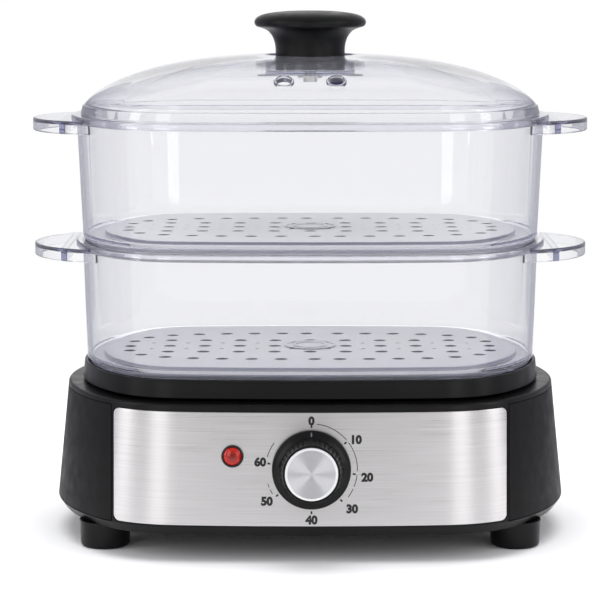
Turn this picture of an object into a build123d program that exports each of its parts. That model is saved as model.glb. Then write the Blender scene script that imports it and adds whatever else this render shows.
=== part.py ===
"""Two-tier electric food steamer: base with timer and heater, drip tray, two baskets and a lid.

Millimetres, +Z up. The origin is on the table under the middle of the base, the front faces -Y
and +X is to the right of someone who stands in front of it.
"""

import os
from math import acos, asin, atan2, cos, pi, radians, sin, sqrt

from build123d import *

os.makedirs("parts", exist_ok=True)

# ---------------------------------------------------------------- plan shape
# Every level of the steamer has one plan: a rectangle with bowed sides. It is given here
# at the foot of the baskets, and other levels are grown from it or shrunk evenly all round.
plan_half_width = 130.5
plan_half_depth = 86.5
front_bow = 900.0            # radius of the front and back sides
end_bow = 105.0              # radius of the two ends
corner_radius = 48.0

# ---------------------------------------------------------------- base
foot_height = 15.0           # table to the underside of the housing
turn_in_height = 5.0         # the lowest band of the housing turns in towards the feet
base_bottom_growth = 12.5    # growth of the plan at the underside
base_widest_growth = 16.1
base_top_growth = 9.2
deck_height = 87.0           # table to the top of the deck
deck_thickness = 2.5
deck_edge_radius = 1.6
deck_opening_growth = -22.0
housing_wall = 3.6

panel_inset = 22.1           # from the side of the plan to the panel's edge
panel_above_turn_in = 1.1
panel_below_deck = 4.1
panel_corner = 3.4
panel_thickness = 0.8
panel_gap = 0.4

cheek_thickness = 1.6
cheek_to_panel = 1.3         # from the panel's edge to the cheek's edge
cheek_below_deck = 3.0
cheek_above_turn_in = 0.4
cheek_gap = 0.3

cover_thickness = 2.0
cover_gap = 0.4
cover_vent_length = 26.0
cover_vent_width = 3.0
cover_vent_pitch = 9.0
cover_vents = 5

boss_diameter = 9.0
boss_inset_x = 46.5          # from the side of the plan to a corner boss
boss_inset_y = 18.5          # from the front or back of the plan
end_boss_inset = 12.5
screw_diameter = 3.0
screw_clearance = 0.05       # all round a screw in its hole
screw_head_diameter = 6.6
screw_head_height = 2.0
cross_length = 0.6           # of the slots in a screw head, as shares of its diameter
cross_width = 0.14
seat_gap = 0.35              # behind flat things that sit on a bowed wall
cover_screw_length = 12.0

foot_diameter = 28.6
foot_bottom_diameter = 27.2
foot_edge_radius = 2.0
foot_inset_x = 15.0          # from the side of the plan to a foot's middle
foot_inset_y = 29.5          # from the front or back of the plan
foot_recess_diameter = 10.0
foot_recess_depth = 9.0
foot_boss_diameter = 9.0
foot_boss_height = 12.0
foot_screw_length = 14.0

# ---------------------------------------------------------------- reservoir and heater
basin_growth = -26.0         # outside of the basin at the deck
basin_draft = 4.0            # how much further in the basin is at its floor
basin_wall = 2.0
basin_floor_height = 39.5    # table to the inside of the floor
basin_flange_width = 8.0
basin_flange_thickness = 1.5

heater_inset = 37.5          # from the front of the plan to the heater's edge
heater_flange_width = 11.0   # outside the hub
heater_flange_thickness = 2.2
heater_hub_drop = 5.0        # how far the hub reaches below the flange
basin_hole_clearance = 1.5
gasket_thickness = 1.5
clamp_thickness = 1.8
heater_screw_inset = 5.0     # from the heater's edge
heater_screws_count = 3
heater_thread_depth = 1.75   # of a screw hole in the flange
heater_thread_spare = 0.2    # hole left beyond the end of a screw
element_inset = 11.0         # from the hub's edge to the middle of the tube
element_tube = 6.5
element_gap_angle = 60.0
element_leg = 9.0
thermostat_diameter = 16.0
thermostat_height = 6.5
thermostat_flange_length = 24.0
thermostat_flange_width = 9.6
thermostat_flange_thickness = 1.0
thermostat_tab_width = 5.0
thermostat_tab_thickness = 0.8
thermostat_tab_length = 6.5
fuse_diameter = 4.2
fuse_length = 14.0

# ---------------------------------------------------------------- timer, lamp and gland
dial_x = 0.7
knob_diameter = 43.0
knob_skirt_edge = 2.4        # thickness of the skirt at its edge
knob_cove = 1.6              # room that the cove between skirt and stem leaves
knob_cove_height = 5.0
knob_stem_base = 34.0
knob_stem_top = 31.0
knob_height = 24.0           # from the panel to the face of the cap
knob_panel_gap = 0.6
knob_cavity_diameter = 36.0
knob_cavity_depth = 3.0
flute_count = 36
flute_radius = 0.7
cap_diameter = 28.6
cap_thickness = 1.2
cap_rim_gap = 0.6
shaft_diameter = 6.0
shaft_fit = 0.05
shaft_flat = 1.5
shaft_reach = 16.8           # from the panel to the shaft's end inside the knob
shaft_end_gap = 1.0          # behind the shaft in its bore
timer_width = 42.0
timer_corner = 4.0
timer_depth = 20.0
timer_bell_diameter = 36.0
timer_bell_depth = 8.0
timer_bell_wall = 1.0
timer_bell_edge_radius = 6.4
timer_bell_post = 4.0        # diameter
timer_screw_spacing = 28.0
timer_screw_length = 11.0
timer_bore_depth = 8.0
timer_hole_diameter = 9.0

lamp_x = -42.3
lamp_height = 59.1
lamp_diameter = 10.0
lamp_bezel_diameter = 12.2
lamp_bezel_height = 1.4
lamp_dome_height = 2.6
lamp_edge_radius = 2.1
lamp_front_wall = 1.0        # lens left in front of the bulb's bore
lamp_stem_diameter = 9.0
lamp_stem_length = 16.0
lamp_bore_diameter = 6.6
lamp_bulb_diameter = 6.0
lamp_bulb_length = 13.0
lamp_clip_diameter = 14.0
lamp_clip_thickness = 0.8

gland_x = 70.0
gland_height = 34.5
gland_diameter = 12.0
gland_bore = 7.5
gland_flange_diameter = 17.0
gland_flange_thickness = 2.2
gland_length = 10.8          # of the part inside the housing

block_length = 32.0
block_depth = 16.0
block_height = 13.0
block_wells = 3
block_well_pitch = 9.0
block_well_diameter = 4.5
block_corner = 1.0
block_to_gland = 8.0         # how much nearer the middle it is than the gland
block_inset = 31.5           # from the back of the plan to its middle

# ---------------------------------------------------------------- drip tray
lift_gap = 0.3               # between pieces that stand on each other and lift off
nest_gap = 0.6               # sideways, between a foot or skirt and the rim around it
collar_height = 11.5         # deck to the top of the tray's outer wall
collar_top_growth = -0.1
collar_bottom_growth = 1.0
collar_shadow = 1.4          # gap between the deck and the underside of the collar
tray_wall = 2.0
tray_floor = 1.8
tray_skirt_depth = 6.0
tray_ledge_width = 3.6
steam_ring_radius = 36.0
steam_ring_height = 7.0
steam_ring_wall = 2.0
steam_slots = 12
steam_slot_length = 13.0
steam_slot_width = 5.0
steam_slot_circle = 22.0

# ---------------------------------------------------------------- baskets
basket_wall = 2.2
basket_foot_height = 4.0     # how far the foot reaches into the rim below
basket_foot_wall = 2.2
basket_corner_rise = 2.4     # height of the sloped corner between foot and wall
basket_floor_rise = 5.6      # shoulder to the top of the perforated floor
basket_floor_thickness = 2.2
basket_floor_inset = 8.5     # from the foot's outer face to the edge of the raised floor
rim_height = 4.0
rim_inner_lip = 1.6
lower_basket_height = 69.2   # shoulder to the top of the rim
lower_bottom_growth = -1.5
lower_top_growth = 0.3
lower_rim_growth = 4.0
upper_basket_height = 71.2
upper_bottom_growth = 0.1
upper_top_growth = 3.0
upper_rim_growth = 6.0

handle_reach = 158.6         # from the middle of the steamer to a handle's tip
handle_radius = 49.5         # round plan of a handle
handle_below_rim = 2.0
handle_depth = 7.4
handle_plate = 2.0
handle_wall = 1.8
handle_rib_inset = 20.6      # from the tip to the rib's middle
handle_rib_width = 3.0

hole_diameter = 7.6
small_hole_diameter = 3.2
hole_pitch = 20.4
hole_columns = 4             # each side of the middle
hole_ring_half_width = 105.0
hole_ring_half_depth = 46.0
hole_ring_fullness = 3.4     # 2 is an ellipse, more is squarer
hole_ring_count = 32
small_hole_share = 0.9       # share of the ring that the small holes keep within
boss_mark_radius = 15.0
boss_mark_height = 0.8

# ---------------------------------------------------------------- lid
lid_wall = 2.5
lid_rim_height = 5.2
lid_rim_growth = 0.8
lid_rim_draft = 1.4
lid_bead_radius = 0.9
lid_skirt_depth = 4.0
lid_skirt_wall = 2.3
dome_edge_growth = -1.2
dome_rise = 29.0
dome_fullness = 2.8          # 2 is an ellipse, more keeps the top flatter
dome_shoulder = 1.4          # 2 is an ellipse, less leans the edge inwards
dome_steps = 10
dome_flat = 0.18             # share of the plan that the flat top takes
well_radius = 25.6
well_wall = 2.2
well_depth = 8.0             # from the dome's top
well_floor = 2.5
well_foot_radius = 30.3      # flange round the underside of the well
well_foot_thickness = 1.2
well_rim_drop = 1.9          # from the dome's top down to the well's rim
well_mouth_step = 0.6        # how much less than the well's outside the dome's hole is
vent_x = 14.3
vent_inset = 17.5            # from the front of the plan to the vents
vent_radius = 5.6
vent_bore = 4.2
vent_rise = 1.4

lid_knob_radius = 31.8
lid_knob_neck = 19.75        # radius
lid_knob_straight = 10.5     # straight part of the neck
lid_knob_throat = 2.5        # how far it has flared out at the throat
lid_knob_throat_height = 19.3
lid_knob_flare = 9.6         # how far the neck flares out in all
lid_knob_underside = 23.0    # well floor to the underside of the cap
lid_knob_widest = 26.3       # well floor to the widest place
lid_knob_lip_direction = (1, 0.1)
lid_knob_brow_radius = 19.7  # a place on the way from the widest place to the top
lid_knob_brow_rise = 5.2
lid_knob_crown = 6.2         # rise of the top above the widest place
lid_knob_wall = 2.4
lid_knob_boss = 5.0          # radius of the boss that takes the screw
lid_knob_core = 19.0         # depth of the hollow round the boss
lid_screw_diameter = 4.0
lid_screw_length = 14.0
lid_screw_head = 8.0
lid_screw_head_height = 2.4
washer_diameter = 14.0
washer_thickness = 1.0

# ---------------------------------------------------------------- worked-out values
turn_in_top = foot_height + turn_in_height
panel_width = 2 * (plan_half_width - panel_inset)
panel_bottom = turn_in_top + panel_above_turn_in
panel_height = deck_height - panel_below_deck - panel_bottom
panel_middle = panel_bottom + panel_height / 2
lean = atan2(base_widest_growth - base_top_growth, deck_height - turn_in_top)
reach = 2 * (plan_half_width + plan_half_depth)     # longer than anything, for cutting

bow_centre = Vector(0, front_bow - plan_half_depth)
end_centre = Vector(plan_half_width - end_bow, 0)


def find_corner_centre():
    """Centre of the corner arc, which touches the front arc and the end arc from inside."""
    to_end = end_centre - bow_centre
    far, near, span = front_bow - corner_radius, end_bow - corner_radius, to_end.length
    along = (far**2 - near**2 + span**2) / (2 * span)
    across = sqrt(far**2 - along**2)
    step = to_end.normalized()
    return bow_centre + step * along + step.rotate(Axis.Z, 90) * across


corner_centre = find_corner_centre()
front_direction = (corner_centre - bow_centre).normalized()
end_direction = (corner_centre - end_centre).normalized()


def outline(growth, share=1.0, mode=Mode.ADD):
    """Add the plan to the open sketch, grown by growth and then scaled to share."""
    front_end = bow_centre + front_direction * (front_bow + growth)
    corner = corner_centre + (front_direction + end_direction).normalized() * (corner_radius + growth)
    end_start = end_centre + end_direction * (end_bow + growth)
    quarter = [front_end, corner, end_start]
    ring = [(p.X, p.Y) for p in quarter] + [(plan_half_width + growth, 0)]
    ring += [(p.X, -p.Y) for p in reversed(quarter)] + [(0, plan_half_depth + growth)]
    ring += [(-x, -y) for x, y in ring]
    ring = [(x * share, y * share) for x, y in ring]
    with BuildLine() as path:
        for start, middle, end in zip(ring[0::2], ring[1::2], ring[2::2] + ring[:1]):
            ThreePointArc(start, middle, end)
    make_face(path.edges(), mode=mode)


def slab(growth, bottom, height, mode=Mode.ADD):
    """Add or cut a straight-sided slab of the plan."""
    with BuildSketch(Plane.XY.offset(bottom)) as plan:
        outline(growth)
    extrude(plan.sketch, amount=height, mode=mode)


def band(outer_growth, inner_growth, bottom, height, mode=Mode.ADD):
    """Add or cut a straight-sided ring between two sizes of the plan."""
    with BuildSketch(Plane.XY.offset(bottom)) as plan:
        outline(outer_growth)
        outline(inner_growth, mode=Mode.SUBTRACT)
    extrude(plan.sketch, amount=height, mode=mode)


def tapered(sections, mode=Mode.ADD):
    """Add or cut a block whose sides run straight through (height, growth) sections."""
    plans = []
    for height, growth in sections:
        with BuildSketch(Plane.XY.offset(height)) as plan:
            outline(growth)
        plans.append(plan.sketch)
    loft(plans, ruled=True, mode=mode)


def base_growth(height):
    """Growth of the base's outer face at a height above the turned-in band."""
    share = (height - turn_in_top) / (deck_height - turn_in_top)
    return base_widest_growth + share * (base_top_growth - base_widest_growth)


def base_skin(outer_depth, inner_depth):
    """Layer of the base's leaning side between two depths under its surface."""
    levels = (turn_in_top, deck_height)
    with BuildPart() as layer:
        tapered([(z, base_growth(z) - outer_depth) for z in levels])
        tapered([(z, base_growth(z) - inner_depth) for z in levels], mode=Mode.SUBTRACT)
    return layer.part


def face_plane(x, height):
    """Plane on the base's front face at a place, facing outwards."""
    radius = front_bow + base_growth(height)
    turn = asin(x / radius)
    y = bow_centre.Y - radius * cos(turn)
    outwards = (sin(turn) * cos(lean), -cos(turn) * cos(lean), sin(lean))
    return Plane(origin=(x, y, height), x_dir=(cos(turn), sin(turn), 0), z_dir=outwards)


def screw(plane, places, shank_diameter, shank_length, head_diameter, head_height):
    """Add screws whose heads stand on a plane and whose shanks go down from it."""
    with BuildSketch(plane) as heads:
        with Locations(*places):
            Circle(head_diameter / 2)
    extrude(heads.sketch, amount=head_height)
    with BuildSketch(plane) as shanks:
        with Locations(*places):
            Circle(shank_diameter / 2)
    extrude(shanks.sketch, amount=-shank_length)
    with BuildSketch(plane.offset(head_height)) as slots:
        with Locations(*places):
            Rectangle(head_diameter * cross_length, head_diameter * cross_width)
            Rectangle(head_diameter * cross_width, head_diameter * cross_length)
    extrude(slots.sketch, amount=-head_height / 2, mode=Mode.SUBTRACT)


def save(builder, name):
    """Label a finished piece and write its STEP file."""
    builder.part.label = name
    export_step(builder.part, f"parts/{name}.step")


dial_plane = face_plane(dial_x, panel_middle)
lamp_plane = face_plane(lamp_x, lamp_height)
dial_axis = Axis(dial_plane.origin, dial_plane.z_dir)
lamp_axis = Axis(lamp_plane.origin, lamp_plane.z_dir)
screw_hole = screw_diameter / 2 + screw_clearance
boss_x, boss_y = plan_half_width - boss_inset_x, plan_half_depth - boss_inset_y
boss_places = [(x, y) for x in (-boss_x, boss_x) for y in (-boss_y, boss_y)]
boss_places += [(x * (plan_half_width - end_boss_inset), 0) for x in (-1, 1)]
foot_x, foot_y = plan_half_width - foot_inset_x, plan_half_depth - foot_inset_y
foot_places = {
    "front_left": (-foot_x, -foot_y),
    "front_right": (foot_x, -foot_y),
    "rear_left": (-foot_x, foot_y),
    "rear_right": (foot_x, foot_y),
}
cheek_edge = panel_width / 2 + cheek_to_panel
cheek_bottom = turn_in_top + cheek_above_turn_in
cheek_top = deck_height - cheek_below_deck
gland_plane = Plane(Rotation(0, 0, 180) * face_plane(-gland_x, gland_height).offset(seat_gap).location)

# ================================================================ base
with BuildPart() as panel_pocket:
    add(base_skin(-1, panel_thickness))
    with BuildSketch(Plane.XZ):
        with Locations((0, panel_middle)):
            RectangleRounded(
                panel_width + 2 * panel_gap, panel_height + 2 * panel_gap, panel_corner + panel_gap
            )
    extrude(amount=reach, mode=Mode.INTERSECT)

with BuildPart() as cheek_pockets:
    add(base_skin(-1, cheek_thickness))
    with BuildSketch(Plane.XZ):
        for side in (-1, 1):
            with Locations((side * (cheek_edge - cheek_gap + reach / 2), (cheek_bottom + cheek_top) / 2)):
                Rectangle(reach, cheek_top - cheek_bottom + 2 * cheek_gap)
    extrude(amount=reach, both=True, mode=Mode.INTERSECT)

with BuildPart() as base_housing:
    tapered([
        (foot_height, base_bottom_growth),
        (turn_in_top, base_widest_growth),
        (deck_height, base_top_growth),
    ])
    fillet(base_housing.edges().group_by(Axis.Z)[-1], deck_edge_radius)
    deck_underside = deck_height - deck_thickness
    tapered([
        (foot_height, base_bottom_growth - housing_wall),
        (turn_in_top, base_widest_growth - housing_wall),
        (deck_underside, base_growth(deck_underside) - housing_wall),
    ], mode=Mode.SUBTRACT)
    slab(deck_opening_growth, deck_underside, deck_thickness, mode=Mode.SUBTRACT)
    cover_top = foot_height + cover_thickness
    with BuildSketch(Plane.XY.offset(cover_top)):
        with Locations(*boss_places):
            Circle(boss_diameter / 2)
    extrude(amount=deck_underside - cover_top)
    with BuildSketch(Plane.XY.offset(cover_top)):
        with Locations(*boss_places):
            Circle(screw_hole)
    extrude(amount=cover_screw_length, mode=Mode.SUBTRACT)
    add(panel_pocket.part, mode=Mode.SUBTRACT)
    add(cheek_pockets.part, mode=Mode.SUBTRACT)
    with BuildSketch(dial_plane):
        Circle(timer_hole_diameter / 2)
        with Locations((-timer_screw_spacing / 2, 0), (timer_screw_spacing / 2, 0)):
            Circle(screw_hole)
    extrude(amount=-2 * housing_wall, mode=Mode.SUBTRACT)
    with BuildSketch(lamp_plane):
        Circle(lamp_stem_diameter / 2 + screw_clearance)
    extrude(amount=-2 * housing_wall, mode=Mode.SUBTRACT)
    with BuildSketch(gland_plane):
        Circle(gland_diameter / 2 + screw_clearance)
    extrude(amount=2 * housing_wall, both=True, mode=Mode.SUBTRACT)
save(base_housing, "base_housing")

with BuildPart() as front_panel:
    add(base_skin(0, panel_thickness))
    with BuildSketch(Plane.XZ):
        with Locations((0, panel_middle)):
            RectangleRounded(panel_width, panel_height, panel_corner)
    extrude(amount=reach, mode=Mode.INTERSECT)
    with BuildSketch(dial_plane):
        Circle(timer_hole_diameter / 2)
        with Locations((-timer_screw_spacing / 2, 0), (timer_screw_spacing / 2, 0)):
            Circle(screw_hole)
    extrude(amount=2 * housing_wall, both=True, mode=Mode.SUBTRACT)
    with BuildSketch(lamp_plane):
        Circle(lamp_stem_diameter / 2 + screw_clearance)
    extrude(amount=2 * housing_wall, both=True, mode=Mode.SUBTRACT)
save(front_panel, "front_panel")

for name, side in (("side_cheek_left", -1), ("side_cheek_right", 1)):
    with BuildPart() as side_cheek:
        add(base_skin(0, cheek_thickness))
        with BuildSketch(Plane.XZ):
            with Locations((side * (cheek_edge + reach / 2), (cheek_bottom + cheek_top) / 2)):
                Rectangle(reach, cheek_top - cheek_bottom)
        extrude(amount=reach, both=True, mode=Mode.INTERSECT)
    save(side_cheek, name)

with BuildPart() as bottom_cover:
    slab(base_bottom_growth - housing_wall - cover_gap, foot_height, cover_thickness)
    with BuildSketch(Plane.XY.offset(cover_top)):
        with Locations(*foot_places.values()):
            Circle(foot_boss_diameter / 2)
    extrude(amount=foot_boss_height)
    with BuildSketch(Plane.XY.offset(foot_height)):
        with Locations(*foot_places.values()):
            Circle(screw_hole)
    extrude(amount=foot_screw_length + screw_clearance, mode=Mode.SUBTRACT)
    with BuildSketch(Plane.XY.offset(foot_height)):
        with Locations(*boss_places):
            Circle(screw_hole)
        with GridLocations(2 * (cover_vent_length + cover_vent_pitch), cover_vent_pitch, 2, cover_vents):
            SlotOverall(cover_vent_length, cover_vent_width)
    extrude(amount=cover_thickness, mode=Mode.SUBTRACT)
save(bottom_cover, "bottom_cover")

with BuildPart() as cover_screws:
    underside = Plane(origin=(0, 0, foot_height), x_dir=(1, 0, 0), z_dir=(0, 0, -1))
    screw(underside, [(x, -y) for x, y in boss_places], screw_diameter, cover_screw_length,
          screw_head_diameter, screw_head_height)
save(cover_screws, "cover_screws")

for name, (x, y) in foot_places.items():
    with BuildPart() as foot:
        with BuildSketch(Plane(origin=(x, y, 0), x_dir=(1, 0, 0), z_dir=(0, -1, 0))):
            with BuildLine():
                Polyline(
                    (screw_hole, foot_recess_depth),
                    (foot_recess_diameter / 2, foot_recess_depth),
                    (foot_recess_diameter / 2, 0),
                    (foot_bottom_diameter / 2, 0),
                    (foot_diameter / 2, foot_height),
                    (screw_hole, foot_height),
                    close=True,
                )
            make_face()
        revolve(axis=Axis((x, y, 0), (0, 0, 1)))
        fillet(foot.edges().group_by(Axis.Z)[0].sort_by(SortBy.LENGTH)[-1:], foot_edge_radius)
    save(foot, f"foot_{name}")

with BuildPart() as foot_screws:
    recess_roof = Plane(origin=(0, 0, foot_recess_depth), x_dir=(1, 0, 0), z_dir=(0, 0, -1))
    screw(recess_roof, [(x, -y) for x, y in foot_places.values()], screw_diameter, foot_screw_length,
          screw_head_diameter, screw_head_height)
save(foot_screws, "foot_screws")

# ================================================================ reservoir and heater
basin_underside = basin_floor_height - basin_wall
flange_top = deck_height + basin_flange_thickness
heater_radius = plan_half_depth - heater_inset
heater_hub_radius = heater_radius - heater_flange_width
heater_screw_circle = heater_radius - heater_screw_inset
element_radius = heater_hub_radius - element_inset
basin_hole_radius = heater_hub_radius + basin_hole_clearance
heater_screw_places = [
    (heater_screw_circle * cos(a), heater_screw_circle * sin(a))
    for a in (pi / 2 + 2 * pi * i / heater_screws_count for i in range(heater_screws_count))
]

with BuildPart() as water_reservoir:
    tapered([(basin_underside, basin_growth - basin_draft), (flange_top, basin_growth)])
    slab(basin_growth + basin_flange_width, deck_height, basin_flange_thickness)
    tapered([
        (basin_floor_height, basin_growth - basin_draft - basin_wall),
        (flange_top, basin_growth - basin_wall),
    ], mode=Mode.SUBTRACT)
    with BuildSketch(Plane.XY.offset(basin_underside)):
        Circle(basin_hole_radius)
        with Locations(*heater_screw_places):
            Circle(screw_hole)
    extrude(amount=basin_wall, mode=Mode.SUBTRACT)
save(water_reservoir, "water_reservoir")

plate_underside = basin_floor_height + gasket_thickness
hub_bottom = plate_underside - heater_hub_drop - basin_wall
plate_top = plate_underside + heater_flange_thickness

with BuildPart() as heater_gasket:
    with BuildSketch(Plane.XY.offset(basin_floor_height)):
        Circle(heater_radius)
        Circle(basin_hole_radius, mode=Mode.SUBTRACT)
        with Locations(*heater_screw_places):
            Circle(screw_hole, mode=Mode.SUBTRACT)
    extrude(amount=gasket_thickness)
save(heater_gasket, "heater_gasket")

with BuildPart() as heater_plate:
    with BuildSketch(Plane.XY.offset(plate_underside)):
        Circle(heater_radius)
    extrude(amount=heater_flange_thickness)
    with BuildSketch(Plane.XY.offset(hub_bottom)):
        Circle(heater_hub_radius)
    extrude(amount=plate_underside - hub_bottom)
    fillet(heater_plate.edges().group_by(Axis.Z)[-1], heater_flange_thickness / 3)
    with BuildSketch(Plane.XY.offset(plate_underside)):
        with Locations(*heater_screw_places):
            Circle(screw_hole)
    extrude(amount=heater_thread_depth, mode=Mode.SUBTRACT)
save(heater_plate, "heater_plate")

with BuildPart() as heater_clamp:
    with BuildSketch(Plane.XY.offset(basin_underside - clamp_thickness)):
        Circle(heater_radius)
        Circle(basin_hole_radius, mode=Mode.SUBTRACT)
        with Locations(*heater_screw_places):
            Circle(screw_hole, mode=Mode.SUBTRACT)
    extrude(amount=clamp_thickness)
save(heater_clamp, "heater_clamp")

with BuildPart() as heater_screws:
    clamp_underside = Plane(
        origin=(0, 0, basin_underside - clamp_thickness), x_dir=(1, 0, 0), z_dir=(0, 0, -1)
    )
    heater_screw_length = clamp_thickness + basin_wall + gasket_thickness
    heater_screw_length += heater_thread_depth - heater_thread_spare
    screw(clamp_underside, [(x, -y) for x, y in heater_screw_places], screw_diameter,
          heater_screw_length, screw_head_diameter, screw_head_height)
save(heater_screws, "heater_screws")

element_level = hub_bottom - element_tube / 2
with BuildPart() as heater_element:
    half_gap = element_gap_angle / 2
    tail = (element_radius * sin(radians(half_gap)), -element_radius * cos(radians(half_gap)))
    with BuildSketch(Plane(origin=(*tail, element_level), x_dir=(0, 0, 1),
                           z_dir=(cos(radians(half_gap)), sin(radians(half_gap)), 0))):
        Circle(element_tube / 2)
    revolve(axis=Axis.Z, revolution_arc=360 - element_gap_angle)
    with BuildSketch(Plane.XY.offset(element_level)):
        with Locations(tail, (-tail[0], tail[1])):
            Circle(element_tube / 2)
    extrude(amount=-element_leg)
save(heater_element, "heater_element")

with BuildPart() as thermostat:
    with BuildSketch(Plane.XY.offset(hub_bottom)):
        SlotOverall(thermostat_flange_length, thermostat_flange_width)
    extrude(amount=-thermostat_flange_thickness)
    with BuildSketch(Plane.XY.offset(hub_bottom)):
        Circle(thermostat_diameter / 2)
    extrude(amount=-thermostat_height)
    with BuildSketch(Plane.XY.offset(hub_bottom - thermostat_height)):
        with GridLocations(thermostat_diameter / 2, 0, 2, 1):
            Rectangle(thermostat_tab_thickness, thermostat_tab_width)
    extrude(amount=-thermostat_tab_length)
save(thermostat, "thermostat")

with BuildPart() as thermal_fuse:
    fuse_y = (thermostat_diameter / 2 + element_radius - element_tube / 2) / 2
    with BuildSketch(Plane(origin=(-fuse_length / 2, fuse_y, hub_bottom - fuse_diameter / 2),
                           x_dir=(0, 1, 0), z_dir=(1, 0, 0))):
        Circle(fuse_diameter / 2)
    extrude(amount=fuse_length)
    fillet(thermal_fuse.edges().filter_by(GeomType.CIRCLE), fuse_diameter / 6)
save(thermal_fuse, "thermal_fuse")

# ================================================================ timer
case_front = dial_plane.offset(-housing_wall - seat_gap)
with BuildPart() as timer_case:
    with BuildSketch(case_front):
        RectangleRounded(timer_width, timer_width, timer_corner)
    extrude(amount=-timer_depth)
    with BuildSketch(case_front):
        Circle(shaft_diameter / 2 + shaft_fit)
    extrude(amount=-timer_bore_depth, mode=Mode.SUBTRACT)
    with BuildSketch(case_front):
        with Locations((-timer_screw_spacing / 2, 0), (timer_screw_spacing / 2, 0)):
            Circle(screw_hole)
    extrude(amount=-timer_bore_depth, mode=Mode.SUBTRACT)
save(timer_case, "timer_case")

with BuildPart() as timer_bell:
    with BuildSketch(case_front.offset(-timer_depth)):
        Circle(timer_bell_diameter / 2)
    extrude(amount=-timer_bell_depth)
    fillet(timer_bell.edges().filter_by(GeomType.CIRCLE).sort_by(Axis.Y)[-1:], timer_bell_edge_radius)
    bell_mouth = timer_bell.faces().filter_by(GeomType.PLANE).sort_by(Axis.Y)[:1]
    offset(amount=-timer_bell_wall, openings=bell_mouth)
    with BuildSketch(case_front.offset(-timer_depth)):
        Circle(timer_bell_post / 2)
    extrude(amount=-timer_bell_depth)
save(timer_bell, "timer_bell")

with BuildPart() as timer_screws:
    screw(dial_plane, [(-timer_screw_spacing / 2, 0), (timer_screw_spacing / 2, 0)], screw_diameter,
          timer_screw_length, screw_head_diameter, screw_head_height)
save(timer_screws, "timer_screws")


def shaft_outline(clearance):
    """Add the D section of the timer's shaft to the open sketch."""
    radius = shaft_diameter / 2 + clearance
    Circle(radius)
    with Locations((0, -shaft_diameter / 2 + shaft_flat - clearance - radius)):
        Rectangle(3 * radius, 2 * radius, mode=Mode.SUBTRACT)


shaft_bottom = timer_bore_depth + housing_wall + seat_gap - shaft_end_gap
with BuildPart() as timer_shaft:
    with BuildSketch(dial_plane.offset(-shaft_bottom)):
        Circle(shaft_diameter / 2)
    extrude(amount=shaft_bottom + knob_panel_gap)
    with BuildSketch(dial_plane.offset(knob_panel_gap)):
        shaft_outline(0)
    extrude(amount=shaft_reach - knob_panel_gap)
save(timer_shaft, "timer_shaft")

knob_face = knob_height - cap_thickness
with BuildPart() as timer_knob:
    knob_side = Plane(origin=dial_plane.origin, x_dir=dial_plane.x_dir, z_dir=-dial_plane.y_dir)
    with BuildSketch(knob_side):
        with BuildLine():
            skirt = Line((knob_diameter / 2, knob_panel_gap),
                         (knob_diameter / 2, knob_panel_gap + knob_skirt_edge))
            slope = ThreePointArc(
                skirt @ 1,
                (knob_stem_base / 2 + knob_cove, knob_panel_gap + knob_skirt_edge + knob_cove),
                (knob_stem_base / 2, knob_panel_gap + knob_skirt_edge + knob_cove_height),
            )
            Polyline(
                slope @ 1,
                (knob_stem_top / 2, knob_height),
                (cap_diameter / 2 + cap_rim_gap, knob_height),
                (cap_diameter / 2 + cap_rim_gap, knob_face),
                (0, knob_face),
                (0, knob_panel_gap + knob_cavity_depth),
                (knob_cavity_diameter / 2, knob_panel_gap + knob_cavity_depth),
                (knob_cavity_diameter / 2, knob_panel_gap),
                skirt @ 0,
            )
        make_face()
    revolve(axis=dial_axis)
    flute_start = knob_panel_gap + knob_skirt_edge + knob_cove_height
    with BuildSketch(dial_plane.offset(flute_start)):
        with PolarLocations(knob_stem_base / 2 + flute_radius / 3, flute_count):
            Circle(flute_radius)
    extrude(amount=knob_height - flute_start, mode=Mode.SUBTRACT)
    with BuildSketch(dial_plane.offset(knob_panel_gap)):
        shaft_outline(shaft_fit)
    extrude(amount=shaft_reach - knob_panel_gap, mode=Mode.SUBTRACT)
save(timer_knob, "timer_knob")

with BuildPart() as knob_cap:
    with BuildSketch(dial_plane.offset(knob_face)):
        Circle(cap_diameter / 2)
    extrude(amount=cap_thickness)
    fillet(knob_cap.edges().group_by(dial_axis)[-1], cap_thickness / 3)
save(knob_cap, "knob_cap")

# ================================================================ lamp, gland and terminals
with BuildPart() as lamp_lens:
    with BuildSketch(lamp_plane):
        Circle(lamp_diameter / 2)
    extrude(amount=lamp_dome_height)
    fillet(lamp_lens.edges().group_by(lamp_axis)[-1], lamp_edge_radius)
    with BuildSketch(lamp_plane):
        Circle(lamp_stem_diameter / 2)
    extrude(amount=-lamp_stem_length)
    with BuildSketch(lamp_plane.offset(-lamp_stem_length)):
        Circle(lamp_bore_diameter / 2)
    extrude(amount=lamp_stem_length - lamp_front_wall, mode=Mode.SUBTRACT)
save(lamp_lens, "lamp_lens")

with BuildPart() as lamp_bezel:
    with BuildSketch(lamp_plane.offset(screw_clearance)):
        Circle(lamp_bezel_diameter / 2)
        Circle(lamp_diameter / 2 + screw_clearance, mode=Mode.SUBTRACT)
    extrude(amount=lamp_bezel_height)
    fillet(lamp_bezel.edges().group_by(lamp_axis)[-1], lamp_bezel_height / 4)
save(lamp_bezel, "lamp_bezel")

with BuildPart() as lamp_bulb:
    with BuildSketch(lamp_plane.offset(-lamp_stem_length)):
        Circle(lamp_bulb_diameter / 2)
    extrude(amount=lamp_bulb_length)
    fillet(lamp_bulb.edges().group_by(lamp_axis)[-1], lamp_bulb_diameter / 3)
save(lamp_bulb, "lamp_bulb")

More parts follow.
